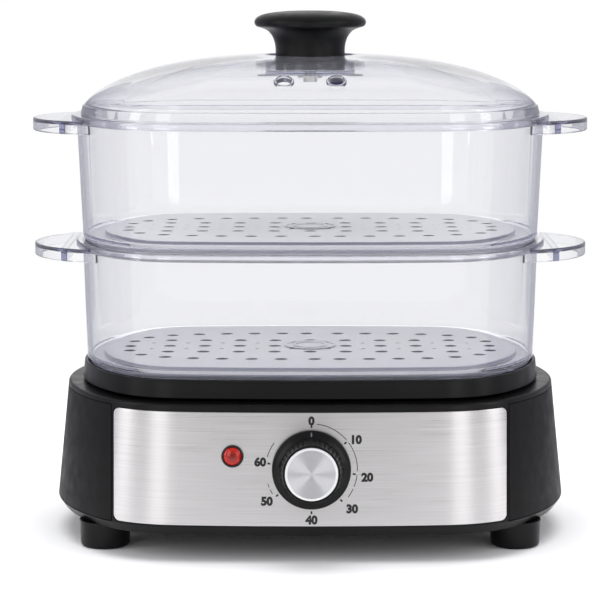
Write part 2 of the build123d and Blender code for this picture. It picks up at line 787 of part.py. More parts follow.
with BuildPart() as lamp_clip:
    with BuildSketch(lamp_plane.offset(-housing_wall - seat_gap - lamp_clip_thickness)):
        Circle(lamp_clip_diameter / 2)
        Circle(lamp_stem_diameter / 2 + screw_clearance, mode=Mode.SUBTRACT)
    extrude(amount=lamp_clip_thickness)
save(lamp_clip, "lamp_clip")

with BuildPart() as cord_gland:
    with BuildSketch(gland_plane):
        Circle(gland_flange_diameter / 2)
    extrude(amount=gland_flange_thickness)
    gland_axis = Axis(gland_plane.origin, gland_plane.z_dir)
    fillet(cord_gland.edges().group_by(gland_axis)[-1], gland_flange_thickness / 3)
    with BuildSketch(gland_plane):
        Circle(gland_diameter / 2)
    extrude(amount=-gland_length)
    with BuildSketch(gland_plane.offset(gland_flange_thickness)):
        Circle(gland_bore / 2)
    extrude(amount=-gland_flange_thickness - gland_length, mode=Mode.SUBTRACT)
save(cord_gland, "cord_gland")

block_x, block_y = gland_x - block_to_gland, plan_half_depth - block_inset
with BuildPart() as terminal_block:
    with Locations((block_x, block_y, cover_top + block_height / 2)):
        Box(block_length, block_depth, block_height)
    with BuildSketch(Plane.XY.offset(cover_top + block_height)):
        with Locations((block_x, block_y)):
            with GridLocations(block_well_pitch, 0, block_wells, 1):
                Circle(block_well_diameter / 2)
    extrude(amount=-block_height / 2, mode=Mode.SUBTRACT)
    fillet(terminal_block.edges().filter_by(Axis.Z), block_corner)
save(terminal_block, "terminal_block")

# ================================================================ drip tray
tray_bottom = flange_top + lift_gap
tray_floor_top = tray_bottom + tray_floor
collar_top = deck_height + collar_height
lower_shoulder = collar_top + lift_gap
tray_ledge_top = lower_shoulder - basket_foot_height - lift_gap
skirt_growth = basin_growth - basin_wall - nest_gap
collar_inner_growth = collar_top_growth - tray_wall

with BuildPart() as drip_tray:
    tapered([(deck_height + collar_shadow, collar_bottom_growth), (collar_top, collar_top_growth)])
    slab(collar_inner_growth, tray_ledge_top, collar_top - tray_ledge_top, mode=Mode.SUBTRACT)
    slab(collar_inner_growth - tray_ledge_width, tray_floor_top, tray_ledge_top - tray_floor_top,
         mode=Mode.SUBTRACT)
    slab(collar_inner_growth - tray_ledge_width, deck_height, tray_bottom - deck_height,
         mode=Mode.SUBTRACT)
    band(skirt_growth, skirt_growth - tray_wall, tray_bottom - tray_skirt_depth, tray_skirt_depth)
    with BuildSketch(Plane.XY.offset(tray_floor_top)):
        Circle(steam_ring_radius)
        Circle(steam_ring_radius - steam_ring_wall, mode=Mode.SUBTRACT)
    extrude(amount=steam_ring_height)
    with BuildSketch(Plane.XY.offset(tray_bottom)):
        with PolarLocations(steam_slot_circle, steam_slots):
            SlotOverall(steam_slot_length, steam_slot_width)
    extrude(amount=tray_floor, mode=Mode.SUBTRACT)
    fillet(drip_tray.edges().group_by(Axis.Z)[-1], tray_wall / 4)
save(drip_tray, "drip_tray")

# ================================================================ baskets
handle_x = handle_reach - handle_radius
rib_x = handle_reach - handle_rib_inset
rib_length = 2 * sqrt((handle_radius - handle_wall)**2 - (rib_x - handle_x)**2)


def add_handles(rim_top):
    """Add the two handles to a basket: a round plate, the skirt under its edge and a rib."""
    places = Locations((-handle_x, 0), (handle_x, 0))
    ribs = Locations((-rib_x, 0), (rib_x, 0))
    plate_top = rim_top - handle_below_rim
    with BuildSketch(Plane.XY.offset(plate_top)) as plates:
        with places:
            Circle(handle_radius)
    extrude(plates.sketch, amount=-handle_plate)
    with BuildSketch(Plane.XY.offset(plate_top)) as skirts:
        with places:
            Circle(handle_radius)
            Circle(handle_radius - handle_wall, mode=Mode.SUBTRACT)
        with ribs:
            Rectangle(handle_rib_width, rib_length)
    extrude(skirts.sketch, amount=-handle_depth)


def ring_point(turn):
    """Point at a turn, in radians, on the squarish ring of holes round a basket's floor."""
    power = 2 / hole_ring_fullness
    x = hole_ring_half_width * abs(cos(turn)) ** power
    y = hole_ring_half_depth * abs(sin(turn)) ** power
    return Vector(x if cos(turn) > 0 else -x, y if sin(turn) > 0 else -y)


def ring_places():
    """Evenly spaced places on that ring."""
    steps = 4000
    fine = [ring_point(2 * pi * i / steps) for i in range(steps + 1)]
    spacing = sum((b - a).length for a, b in zip(fine, fine[1:])) / hole_ring_count
    places, walked = [], spacing
    for a, b in zip(fine, fine[1:]):
        if walked >= spacing:
            places.append((a.X, a.Y))
            walked -= spacing
        walked += (b - a).length
    return places


def is_in_ring(x, y, share):
    """Tell whether a point is within the ring of holes shrunk to share."""
    across, along = abs(x) / hole_ring_half_width, abs(y) / hole_ring_half_depth
    return across**hole_ring_fullness + along**hole_ring_fullness < share**hole_ring_fullness


columns = range(-hole_columns, hole_columns + 1)
hole_places = ring_places() + [
    (i * hole_pitch, j * hole_pitch) for i in columns for j in (-1, 0, 1) if i or j
]
small_hole_places = [
    ((i + 0.5) * hole_pitch, (j + 0.5) * hole_pitch)
    for i in range(-hole_columns - 1, hole_columns + 1)
    for j in (-1, 0)
    if is_in_ring((i + 0.5) * hole_pitch, (j + 0.5) * hole_pitch, small_hole_share)
]


def build_basket(name, shoulder, height, bottom_growth, top_growth, rim_growth, foot_growth):
    """Make one basket: foot, drafted wall, rim, handles and raised perforated floor."""
    rim_top = shoulder + height
    corner_top = shoulder + basket_corner_rise
    floor_top = shoulder + basket_floor_rise
    floor_growth = foot_growth - basket_floor_inset
    with BuildPart() as basket:
        tapered([
            (shoulder, bottom_growth - basket_corner_rise / 2),
            (corner_top, bottom_growth),
            (rim_top, top_growth),
        ])
        slab(rim_growth, rim_top - rim_height, rim_height)
        fillet(basket.edges().group_by(Axis.Z)[-1], rim_height / 5)
        add_handles(rim_top)
        wall_top = rim_top - rim_height
        share = (wall_top - corner_top) / (rim_top - corner_top)
        wall_top_growth = bottom_growth + share * (top_growth - bottom_growth)
        tapered([
            (shoulder + basket_floor_thickness, bottom_growth - basket_wall - basket_corner_rise / 2),
            (corner_top + basket_floor_thickness, bottom_growth - basket_wall),
            (wall_top, wall_top_growth - basket_wall),
        ], mode=Mode.SUBTRACT)
        slab(top_growth - basket_wall - rim_inner_lip, wall_top, rim_height, mode=Mode.SUBTRACT)
        band(foot_growth, foot_growth - basket_foot_wall, shoulder - basket_foot_height,
             basket_foot_height + basket_floor_thickness)
        slab(floor_growth, shoulder, basket_floor_rise)
        slab(floor_growth - basket_floor_thickness, shoulder, basket_floor_rise - basket_floor_thickness,
             mode=Mode.SUBTRACT)
        with BuildSketch(Plane.XY.offset(floor_top)) as boss:
            Circle(boss_mark_radius)
        extrude(boss.sketch, amount=boss_mark_height)
        with BuildSketch(Plane.XY.offset(floor_top)) as holes:
            with Locations(*hole_places):
                Circle(hole_diameter / 2)
            with Locations(*small_hole_places):
                Circle(small_hole_diameter / 2)
        extrude(holes.sketch, amount=-basket_floor_thickness, mode=Mode.SUBTRACT)
    save(basket, name)
    return rim_top


lower_rim_top = build_basket(
    "lower_basket", lower_shoulder, lower_basket_height,
    lower_bottom_growth, lower_top_growth, lower_rim_growth,
    collar_inner_growth - nest_gap,
)
upper_shoulder = lower_rim_top + lift_gap
upper_rim_top = build_basket(
    "upper_basket", upper_shoulder, upper_basket_height,
    upper_bottom_growth, upper_top_growth, upper_rim_growth,
    lower_top_growth - basket_wall - rim_inner_lip - nest_gap,
)

# ================================================================ lid
lid_seat = upper_rim_top + lift_gap
lid_rim_top = lid_seat + lid_rim_height
dome_base = lid_rim_top - lid_bead_radius
lid_skirt_growth = upper_top_growth - basket_wall - rim_inner_lip - nest_gap
dome_top = dome_base + dome_rise
well_floor_top = dome_top - well_depth


def dome(growth, rise, mode=Mode.ADD):
    """Add or cut a dome of stacked plans that shrink towards a small flat top."""
    plans = []
    for step in range(dome_steps + 1):
        share = cos(step / dome_steps * acos(dome_flat))
        height = rise * (1 - share**dome_fullness) ** (1 / dome_shoulder)
        with BuildSketch(Plane.XY.offset(dome_base + height)) as plan:
            outline(growth, share)
        plans.append(plan.sketch)
    loft(plans, ruled=True, mode=mode)


vent_y = vent_inset - plan_half_depth
dome_half_depth = plan_half_depth + dome_edge_growth
vent_share = -vent_y / dome_half_depth
vent_level = (1 - vent_share**dome_fullness) ** (1 / dome_shoulder)
vent_slope = dome_fullness / dome_shoulder * vent_share ** (dome_fullness - 1)
vent_slope *= dome_rise * vent_level ** (1 - dome_shoulder)
vent_lean = atan2(vent_slope, dome_half_depth)
vent_planes = [
    Plane(
        origin=(x, vent_y, dome_base + dome_rise * vent_level),
        x_dir=(1, 0, 0),
        z_dir=(0, -sin(vent_lean), cos(vent_lean)),
    )
    for x in (-vent_x, vent_x)
]
well_underside = well_floor_top - well_floor
well_rim_top = dome_top - well_rim_drop
lid_screw_hole = lid_screw_diameter / 2 + screw_clearance

with BuildPart() as lid:
    tapered([(lid_seat, lid_rim_growth), (lid_rim_top, lid_rim_growth - lid_rim_draft)])
    fillet(lid.edges().group_by(Axis.Z)[-1], lid_bead_radius)
    dome(dome_edge_growth, dome_rise)
    for plane in vent_planes:
        with BuildSketch(plane.offset(-lid_wall)):
            Circle(vent_radius)
        extrude(amount=lid_wall + vent_rise)
    slab(lid_skirt_growth, lid_seat - lid_skirt_depth, lid_skirt_depth)
    dome(dome_edge_growth - lid_wall, dome_rise - lid_wall, mode=Mode.SUBTRACT)
    slab(lid_skirt_growth - lid_skirt_wall, lid_seat - lid_skirt_depth,
         dome_base - lid_seat + lid_skirt_depth, mode=Mode.SUBTRACT)
    with BuildSketch(Plane.XY.offset(well_underside)):
        Circle(well_radius)
    extrude(amount=well_rim_top - well_underside)
    with BuildSketch(Plane.XY.offset(well_underside)):
        Circle(well_foot_radius)
    extrude(amount=well_foot_thickness)
    with BuildSketch(Plane.XY.offset(well_rim_top)):
        Circle(well_radius - well_mouth_step)
    extrude(amount=2 * well_rim_drop, mode=Mode.SUBTRACT)
    with BuildSketch(Plane.XY.offset(well_floor_top)):
        Circle(well_radius - well_wall)
    extrude(amount=well_depth, mode=Mode.SUBTRACT)
    with BuildSketch(Plane.XY.offset(well_underside)):
        Circle(lid_screw_hole)
    extrude(amount=well_floor, mode=Mode.SUBTRACT)
    for plane in vent_planes:
        with BuildSketch(plane):
            Circle(vent_bore)
        extrude(amount=3 * lid_wall, both=True, mode=Mode.SUBTRACT)
save(lid, "lid")

with BuildPart() as lid_knob:
    with BuildSketch(Plane.XZ):
        with BuildLine():
            neck = Line((lid_knob_neck, well_floor_top), (lid_knob_neck, well_floor_top + lid_knob_straight))
            flare = ThreePointArc(
                neck @ 1,
                (lid_knob_neck + lid_knob_throat, well_floor_top + lid_knob_throat_height),
                (lid_knob_neck + lid_knob_flare, well_floor_top + lid_knob_underside),
            )
            widest = (lid_knob_radius, well_floor_top + lid_knob_widest)
            edge = TangentArc(flare @ 1, widest, tangent=lid_knob_lip_direction)
            crown = Spline(
                edge @ 1,
                (lid_knob_brow_radius, well_floor_top + lid_knob_widest + lid_knob_brow_rise),
                (0, well_floor_top + lid_knob_widest + lid_knob_crown),
                tangents=((0, 1), (-1, 0)),
            )
            Polyline(crown @ 1, (0, well_floor_top), neck @ 0)
        make_face()
    revolve(axis=Axis.Z)
    with BuildSketch(Plane.XY.offset(well_floor_top)):
        Circle(lid_knob_neck - lid_knob_wall)
        Circle(lid_knob_boss, mode=Mode.SUBTRACT)
    extrude(amount=lid_knob_core, mode=Mode.SUBTRACT)
    with BuildSketch(Plane.XY.offset(well_floor_top)):
        Circle(lid_screw_hole)
    extrude(amount=lid_screw_length, mode=Mode.SUBTRACT)
save(lid_knob, "lid_knob")

with BuildPart() as lid_knob_washer:
    with BuildSketch(Plane.XY.offset(well_underside - washer_thickness)):
        Circle(washer_diameter / 2)
        Circle(lid_screw_hole, mode=Mode.SUBTRACT)
    extrude(amount=washer_thickness)
save(lid_knob_washer, "lid_knob_washer")

with BuildPart() as lid_knob_screw:
    washer_underside = Plane(
        origin=(0, 0, well_underside - washer_thickness), x_dir=(1, 0, 0), z_dir=(0, 0, -1)
    )
    screw(washer_underside, [(0, 0)], lid_screw_diameter, lid_screw_length, lid_screw_head,
          lid_screw_head_height)
save(lid_knob_screw, "lid_knob_screw")
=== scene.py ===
from functools import partial
from math import acos, asin, atan2, cos, pi, radians, sin, sqrt, tan

import bmesh
import bpy
from mathutils import Matrix, Vector


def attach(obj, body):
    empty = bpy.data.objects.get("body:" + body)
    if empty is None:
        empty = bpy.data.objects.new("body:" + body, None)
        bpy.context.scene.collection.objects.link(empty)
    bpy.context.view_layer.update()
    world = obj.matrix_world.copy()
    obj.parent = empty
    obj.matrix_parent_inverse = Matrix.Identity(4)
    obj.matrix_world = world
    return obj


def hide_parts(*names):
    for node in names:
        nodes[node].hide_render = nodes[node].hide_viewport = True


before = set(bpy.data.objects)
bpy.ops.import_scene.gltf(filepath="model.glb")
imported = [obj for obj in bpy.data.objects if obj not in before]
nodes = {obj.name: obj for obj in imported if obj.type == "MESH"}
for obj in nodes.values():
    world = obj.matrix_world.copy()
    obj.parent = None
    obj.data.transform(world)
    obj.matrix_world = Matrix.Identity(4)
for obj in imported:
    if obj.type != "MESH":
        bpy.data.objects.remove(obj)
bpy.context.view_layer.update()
scene = bpy.context.scene

# Shapes are worked out in millimetres, z up from the table, and turned into metres
# once, when a piece is finished.
mm = 0.001


def addObject(name, data):
    thing = bpy.data.objects.new(name, data)
    scene.collection.objects.link(thing)
    return thing


def newPiece(name, points, faces, edges=()):
    mesh = bpy.data.meshes.new(name)
    mesh.from_pydata([tuple(p) for p in points], list(edges), faces)
    return addObject(name, mesh)


def evenly(start, end, count, extra=0):
    # steps from start towards end; with extra=1 the end itself comes too
    return [start + (end - start) * i / count for i in range(count + extra)]


def circle(radius, steps):
    return [Vector((radius * cos(t), radius * sin(t), 0)) for t in evenly(0, 2 * pi, steps)]


def shell(rings, closed=False, capped=False):
    # faces between rings of points; a ring of one point is a pole
    points, faces, starts = [], [], []
    for line in rings:
        starts.append(len(points))
        points += line
    pairs = list(zip(range(len(rings)), range(1, len(rings))))
    if closed:
        pairs.append((len(rings) - 1, 0))
    for low, high in pairs:
        a, b = starts[low], starts[high]
        count = max(len(rings[low]), len(rings[high]))
        for i in range(count):
            j = (i + 1) % count
            if len(rings[low]) == 1:
                faces.append((a, b + j, b + i))
            elif len(rings[high]) == 1:
                faces.append((a + i, a + j, b))
            else:
                faces.append((a + i, a + j, b + j, b + i))
    if capped:
        for start, line in ((starts[0], rings[0]), (starts[-1], rings[-1])):
            faces.append(tuple(range(start, start + len(line))))
    return points, faces


def rounded(corners, steps=4):
    # outline through (across, up, radius) corners; a corner without a radius stays sharp
    line = []
    for i, corner in enumerate(corners):
        here = Vector(corner[:2])
        if len(corner) < 3:
            line.append(here)
            continue
        before = (Vector(corners[i - 1][:2]) - here).normalized()
        after = (Vector(corners[(i + 1) % len(corners)][:2]) - here).normalized()
        half = before.angle(after) / 2
        centre = here + (before + after).normalized() * corner[2] / sin(half)
        first = here + before * corner[2] / tan(half) - centre
        last = here + after * corner[2] / tan(half) - centre
        turn = first.angle(last)
        for share in evenly(0, 1, steps, 1):
            arc = first * sin((1 - share) * turn) + last * sin(share * turn)
            line.append(centre + arc / sin(turn))
    return line


def smoothLine(points, steps=6):
    # Catmull-Rom curve through points
    line = []
    padded = [points[0]] + list(points) + [points[-1]]
    for span in zip(padded, padded[1:], padded[2:], padded[3:]):
        a, b, c, d = [Vector(p) for p in span]
        for t in evenly(0, 1, steps):
            line.append(0.5 * (2 * b + (c - a) * t + (2 * a - 5 * b + 4 * c - d) * t * t
                               + (3 * b - a - 3 * c + d) * t * t * t))
    return line + [Vector(points[-1])]


def clean(piece, merge=0.002):
    # merges doubled points and turns all faces outwards
    work = bmesh.new()
    work.from_mesh(piece.data)
    bmesh.ops.remove_doubles(work, verts=work.verts, dist=merge)
    bmesh.ops.dissolve_degenerate(work, edges=work.edges, dist=merge / 4)
    bmesh.ops.recalc_face_normals(work, faces=work.faces)
    work.to_mesh(piece.data)
    work.free()


def lathe(name, profile, steps, place=None, closed=False, wave=None):
    # turns (radius, height) points about a vertical axis
    rings = []
    for radius, height in profile:
        line = [Vector((0, 0, height))]
        if radius > 1e-6:
            turns = evenly(0, 2 * pi, steps)
            reaches = [wave(t, radius, height) if wave else radius for t in turns]
            line = [Vector((r * cos(t), r * sin(t), height)) for r, t in zip(reaches, turns)]
        rings.append(line)
    points, faces = shell(rings, closed)
    piece = newPiece(name, [place @ p for p in points] if place else points, faces)
    clean(piece)
    return piece


def bake(piece):
    # turns a piece with its modifiers into a plain mesh
    bpy.context.view_layer.update()
    evaluated = piece.evaluated_get(bpy.context.evaluated_depsgraph_get())
    mesh = bpy.data.meshes.new_from_object(evaluated)
    piece.modifiers.clear()
    piece.data = mesh


def modify(piece, kind, **settings):
    step = piece.modifiers.new(kind.lower(), kind)
    for key, value in settings.items():
        setattr(step, key, value)
    bake(piece)


def combine(piece, tool, how):
    modify(piece, "BOOLEAN", operation=how, solver="EXACT", object=tool)
    bpy.data.objects.remove(tool)


def soften(piece, width, segments, angle=40):
    modify(piece, "BEVEL", width=width, segments=segments, limit_method="ANGLE",
           angle_limit=radians(angle))


def join(piece, *others):
    work = bmesh.new()
    work.from_mesh(piece.data)
    for other in others:
        work.from_mesh(other.data)
        bpy.data.objects.remove(other)
    work.to_mesh(piece.data)
    work.free()


def finishPiece(piece, material, body, replaced=(), angle=32):
    piece.data.transform(Matrix.Scale(mm, 4))
    piece.data.materials.clear()
    piece.data.materials.append(material)
    count = len(piece.data.polygons)
    piece.data.polygons.foreach_set("material_index", [0] * count)
    piece.data.polygons.foreach_set("use_smooth", [True] * count)
    piece.data.set_sharp_from_angle(angle=radians(angle))
    modify(piece, "WEIGHTED_NORMAL", keep_sharp=True)
    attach(piece, body)
    if replaced:
        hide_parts(*replaced)
    print("made", piece.name, count, "faces")


# Plan of the baskets and the base: a front bow, a corner and an end bow, mirrored twice.
# Every level follows it, grown or shrunk evenly all round.
plan = {
    "halfWidth": 130.5,
    "halfDepth": 86.5,
    "frontBow": 900.0,
    "endBow": 105.0,
    "corner": 48.0,
    "frontSteps": 10,
    "cornerSteps": 20,
    "endSteps": 34,
}
bowCentre = Vector((0, plan["frontBow"] - plan["halfDepth"]))
endCentre = Vector((plan["halfWidth"] - plan["endBow"], 0))
span = (endCentre - bowCentre).length
farReach = plan["frontBow"] - plan["corner"]
nearReach = plan["endBow"] - plan["corner"]
along = (farReach ** 2 - nearReach ** 2 + span ** 2) / (2 * span)
stepOut = (endCentre - bowCentre).normalized()
sideways = Vector((-stepOut.y, stepOut.x)) * sqrt(farReach ** 2 - along ** 2)
cornerX, cornerY = bowCentre + stepOut * along + sideways
frontTurn = asin(cornerX / farReach)
cornerTurn = pi / 2 - asin(-cornerY / nearReach)

# Turns are measured from the front, anticlockwise seen from above.
frontArc = (plan["frontBow"], plan["frontSteps"])
cornerArc = (plan["corner"], plan["cornerSteps"])
endArc = (plan["endBow"], plan["endSteps"])
stations = []
for centre, (radius, steps), start, end in (
        (bowCentre, frontArc, 0, frontTurn),
        ((cornerX, cornerY), cornerArc, frontTurn, cornerTurn),
        (endCentre, endArc, cornerTurn, pi - cornerTurn),
        ((cornerX, -cornerY), cornerArc, pi - cornerTurn, pi - frontTurn),
        (-bowCentre, frontArc, pi - frontTurn, pi)):
    stations += [(centre[0], centre[1], radius, sin(t), -cos(t))
                 for t in evenly(start, end, steps)]
stations += [(-x, -y, r, -dx, -dy) for x, y, r, dx, dy in stations]


def planRing(growth, height, share=1.0):
    # the plan at one level, grown evenly and then drawn in to a share of its size
    return [Vector(((x + (r + growth) * dx) * share, (y + (r + growth) * dy) * share, height))
            for x, y, r, dx, dy in stations]


def sweep(name, corners, closed=True):
    # carries an outline of (growth, height, radius) corners round the plan
    rings = [planRing(growth, height) for growth, height in rounded(corners)]
    return newPiece(name, *shell(rings, closed))


# Materials. Grain sizes and bump heights are in millimetres.
def linear(code):
    # sRGB hex to linear colour
    channels = [int(code[i:i + 2], 16) / 255 for i in (1, 3, 5)]
    curve = [c / 12.92 if c <= 0.04045 else ((c + 0.055) / 1.055) ** 2.4 for c in channels]
    return curve + [1.0]


def shades(code, *shares):
    # darker or lighter tones of one colour
    return [[min(1.0, c * share) for c in linear(code)[:3]] + [1.0] for share in shares]


def addNode(tree, kind, inputs=None, **settings):
    # inputs are values or sockets, settings are the node's own properties
    node = tree.nodes.new(kind)
    for key, value in settings.items():
        setattr(node, key, value)
    for key, value in (inputs or {}).items():
        if isinstance(value, bpy.types.NodeSocket):
            tree.links.new(value, node.inputs[key])
        else:
            node.inputs[key].default_value = value
    return node


def mathNode(tree, operation, *values):
    return addNode(tree, "ShaderNodeMath", dict(enumerate(values)), operation=operation).outputs[0]


def vectorNode(tree, operation, *values):
    node = addNode(tree, "ShaderNodeVectorMath", dict(enumerate(values)), operation=operation)
    return node.outputs["Value" if operation in ("LENGTH", "DISTANCE") else "Vector"]


def mixed(tree, factor, first, second, kind="RGBA"):
    inputs = {"Factor": factor, "A": first, "B": second}
    return addNode(tree, "ShaderNodeMix", inputs, data_type=kind).outputs["Result"]


def mixedShader(tree, factor, first, second):
    inputs = {0: factor, 1: first.outputs[0], 2: second.outputs[0]}
    return addNode(tree, "ShaderNodeMixShader", inputs)


def ramp(tree, value, fromMin, fromMax, toMin=0.0, toMax=1.0, kind="LINEAR"):
    inputs = {"Value": value, "From Min": fromMin, "From Max": fromMax, "To Min": toMin,
              "To Max": toMax}
    return addNode(tree, "ShaderNodeMapRange", inputs, interpolation_type=kind).outputs[0]


def spread(tree, noise, low, high):
    # noise seldom leaves 0.3 to 0.7
    return ramp(tree, noise, 0.3, 0.7, low, high)


def ownPlace(tree):
    return addNode(tree, "ShaderNodeTexCoord").outputs["Object"]


def grain(tree, size, stretch=(1, 1, 1), detail=3.0):
    # noise in the piece's own coordinates
    scale = [s / (size * mm) for s in stretch]
    mapping = addNode(tree, "ShaderNodeMapping", {"Vector": ownPlace(tree), "Scale": scale})
    inputs = {"Vector": mapping.outputs[0], "Scale": 1.0, "Detail": detail}
    return addNode(tree, "ShaderNodeTexNoise", inputs).outputs[0]


def bumpNode(tree, height, strength, distance):
    inputs = {"Height": height, "Strength": strength, "Distance": distance * mm}
    return addNode(tree, "ShaderNodeBump", inputs).outputs[0]


def newMaterial(name):
    material = bpy.data.materials.new(name)
    material.use_nodes = True
    material.node_tree.nodes.clear()
    return material, material.node_tree


def principled(tree, **inputs):
    labels = {"baseColor": "Base Color", "ior": "IOR", "specular": "Specular IOR Level",
              "transmission": "Transmission Weight", "scatter": "Subsurface Weight",
              "scatterDepth": "Subsurface Scale"}  # the others only need a capital
    values = {labels.get(key, key.capitalize()): value for key, value in inputs.items()}
    return addNode(tree, "ShaderNodeBsdfPrincipled", values)


def output(tree, shader, **more):
    addNode(tree, "ShaderNodeOutputMaterial", {"Surface": shader.outputs[0], **more})


def surface(name, code, roughness, metallic=0.0, ior=1.5, grainSize=0.5, grainHeight=0.01,
            shade=0.12, roughSpread=0.06, specular=0.5):
    # opaque surface: colour and roughness vary a little, and a fine grain stands proud
    material, tree = newMaterial(name)
    fine, wide = grain(tree, grainSize), grain(tree, grainSize * 24, detail=2.0)
    tone = mixed(tree, spread(tree, fine, 0.0, 1.0), *shades(code, 1 - shade, 1 + shade))
    rough = spread(tree, wide, roughness - roughSpread, roughness + roughSpread)
    output(tree, principled(tree, baseColor=tone, roughness=rough, metallic=metallic, ior=ior,
                            specular=specular, normal=bumpNode(tree, fine, 0.35, grainHeight)))
    return material


san = {  # styrene-acrylonitrile, faintly violet in the depth
    "tint": (0.10, 0.13, 0.48, 1),
    "density": 16.0,
    "ior": 1.57,
    "edgeOnShade": "#7a7fa3",  # painted shade: the glass turns this dark violet where it is seen along its surface
    "edgeFrom": 0.84,
    "edgeTo": 0.98,
    "scatter": "#d2d2de",
    "haze": 0.03,
    "frosted": "#f8f8fa",  # the floors come from a spark-eroded mould face
    "frostedMilk": 0.78,
    "holeWallShade": "#26293d",  # painted shade: hole walls get this dark colour for the dark seen down through the holes
}


def seeThrough(tree, skin, shadow, tint, density):
    # shadows stay pale, and light that crosses is tinted with depth
    clear = addNode(tree, "ShaderNodeBsdfTransparent", {"Color": shadow})
    path = addNode(tree, "ShaderNodeLightPath")
    depth = addNode(tree, "ShaderNodeVolumeAbsorption", {"Color": tint, "Density": density})
    output(tree, mixedShader(tree, path.outputs["Is Shadow Ray"], skin, clear),
           Volume=depth.outputs[0])


def clearPlastic(name, tint, density, roughness, ior, haze=0.0):
    # clear moulded plastic whose skin scatters a little light
    material, tree = newMaterial(name)
    # painted shade: the glass is darkened where it is seen edge-on, as its silhouettes look when
    # they pick up dimmer surroundings; its real violet tint with depth comes from the volume
    # absorption
    slant = addNode(tree, "ShaderNodeLayerWeight", {"Blend": 0.5}).outputs["Facing"]
    edge = ramp(tree, slant, san["edgeFrom"], san["edgeTo"], kind="SMOOTHSTEP")
    glass = principled(tree, baseColor=mixed(tree, edge, (1, 1, 1, 1), linear(san["edgeOnShade"])),
                       roughness=roughness, ior=ior, transmission=1.0,
                       normal=bumpNode(tree, grain(tree, 9.0, detail=2.0), 0.2, 0.04))
    scatter = addNode(tree, "ShaderNodeBsdfDiffuse", {"Color": linear(san["scatter"])})
    seeThrough(tree, mixedShader(tree, haze, glass, scatter), (0.955, 0.955, 0.96, 1), tint,
               density)
    return material


def frostedPlastic(name, tint, density, code, roughness, ior, milk):
    # clear plastic with a fine texture, which scatters much of the light
    material, tree = newMaterial(name)
    noise = grain(tree, 0.5)
    normal = bumpNode(tree, noise, 0.3, 0.03)
    glass = principled(tree, baseColor=(1, 1, 1, 1), ior=ior, transmission=1.0, normal=normal,
                       roughness=spread(tree, noise, roughness - 0.04, roughness + 0.04))
    matt = addNode(tree, "ShaderNodeBsdfDiffuse", {"Color": linear(code), "Normal": normal})
    seeThrough(tree, mixedShader(tree, milk, glass, matt), (0.9, 0.9, 0.905, 1), tint, density)
    return material


def brushedSteel(name, code, roughness):
    # stainless sheet, brushed along its length
    material, tree = newMaterial(name)
    fine = grain(tree, 1.0, (0.02, 0.02, 2.4), 5.0)
    broad = grain(tree, 60.0, (1, 1, 3.0), 2.0)
    tone = mixed(tree, spread(tree, fine, 0.0, 1.0), *shades(code, 0.9, 1.07))
    rough = mathNode(tree, "ADD", spread(tree, fine, roughness - 0.05, roughness + 0.07),
                   spread(tree, broad, 0.0, 0.05))
    facing = addNode(tree, "ShaderNodeNewGeometry").outputs["Normal"]
    output(tree, principled(tree, baseColor=tone, metallic=1.0, roughness=rough, anisotropic=0.6,
                            tangent=vectorNode(tree, "CROSS_PRODUCT", facing, (1, 0, 0)),
                            normal=bumpNode(tree, fine, 0.25, 0.008)))
    return material


def spunAluminium(name, code, rimHighlightCode, roughness, centre, axis, polishedHighlitFrom):
    # disc turned on a lathe: fine rings round the axis, and a rim cut with a diamond, which has no
    # rings; the rim's lighter colour is a painted highlight
    material, tree = newMaterial(name)
    fromCentre = vectorNode(tree, "SUBTRACT", ownPlace(tree), centre)
    distance = vectorNode(tree, "LENGTH", fromCentre)
    rings = addNode(tree, "ShaderNodeTexNoise", {"W": distance, "Scale": 5200.0, "Detail": 3.0},
                    noise_dimensions="1D").outputs[0]
    polishedHighlit = mathNode(tree, "GREATER_THAN", distance, polishedHighlitFrom)
    around = vectorNode(tree, "CROSS_PRODUCT", axis, fromCentre)
    outwards = addNode(tree, "ShaderNodeVectorTransform",
                       {0: vectorNode(tree, "CROSS_PRODUCT", around, axis)},
                       vector_type="VECTOR", convert_from="OBJECT", convert_to="WORLD")
    output(tree, principled(
        tree, baseColor=mixed(tree, polishedHighlit, linear(code), linear(rimHighlightCode)), metallic=1.0,
        roughness=spread(tree, rings, roughness - 0.04, roughness + 0.05),
        anisotropic=mathNode(tree, "SUBTRACT", 1.0, polishedHighlit),
        tangent=vectorNode(tree, "NORMALIZE", outwards.outputs[0]),
        normal=bumpNode(tree, rings, 0.2, 0.006)))
    return material


def lensPlastic(name, code, boreShadeCode, centre, radius):
    # lamp lens, with painted shade over the bulb's bore: darker there for the dark hollow behind
    # it
    material, tree = newMaterial(name)
    away = vectorNode(tree, "DISTANCE", ownPlace(tree), centre)
    share = ramp(tree, away, 0.15 * radius, 0.75 * radius)
    output(tree, principled(tree, baseColor=mixed(tree, share, linear(boreShadeCode), linear(code)),
                            roughness=0.14, ior=1.49, scatter=0.2, scatterDepth=0.002,
                            normal=bumpNode(tree, grain(tree, 1.5), 0.3, 0.02)))
    return material


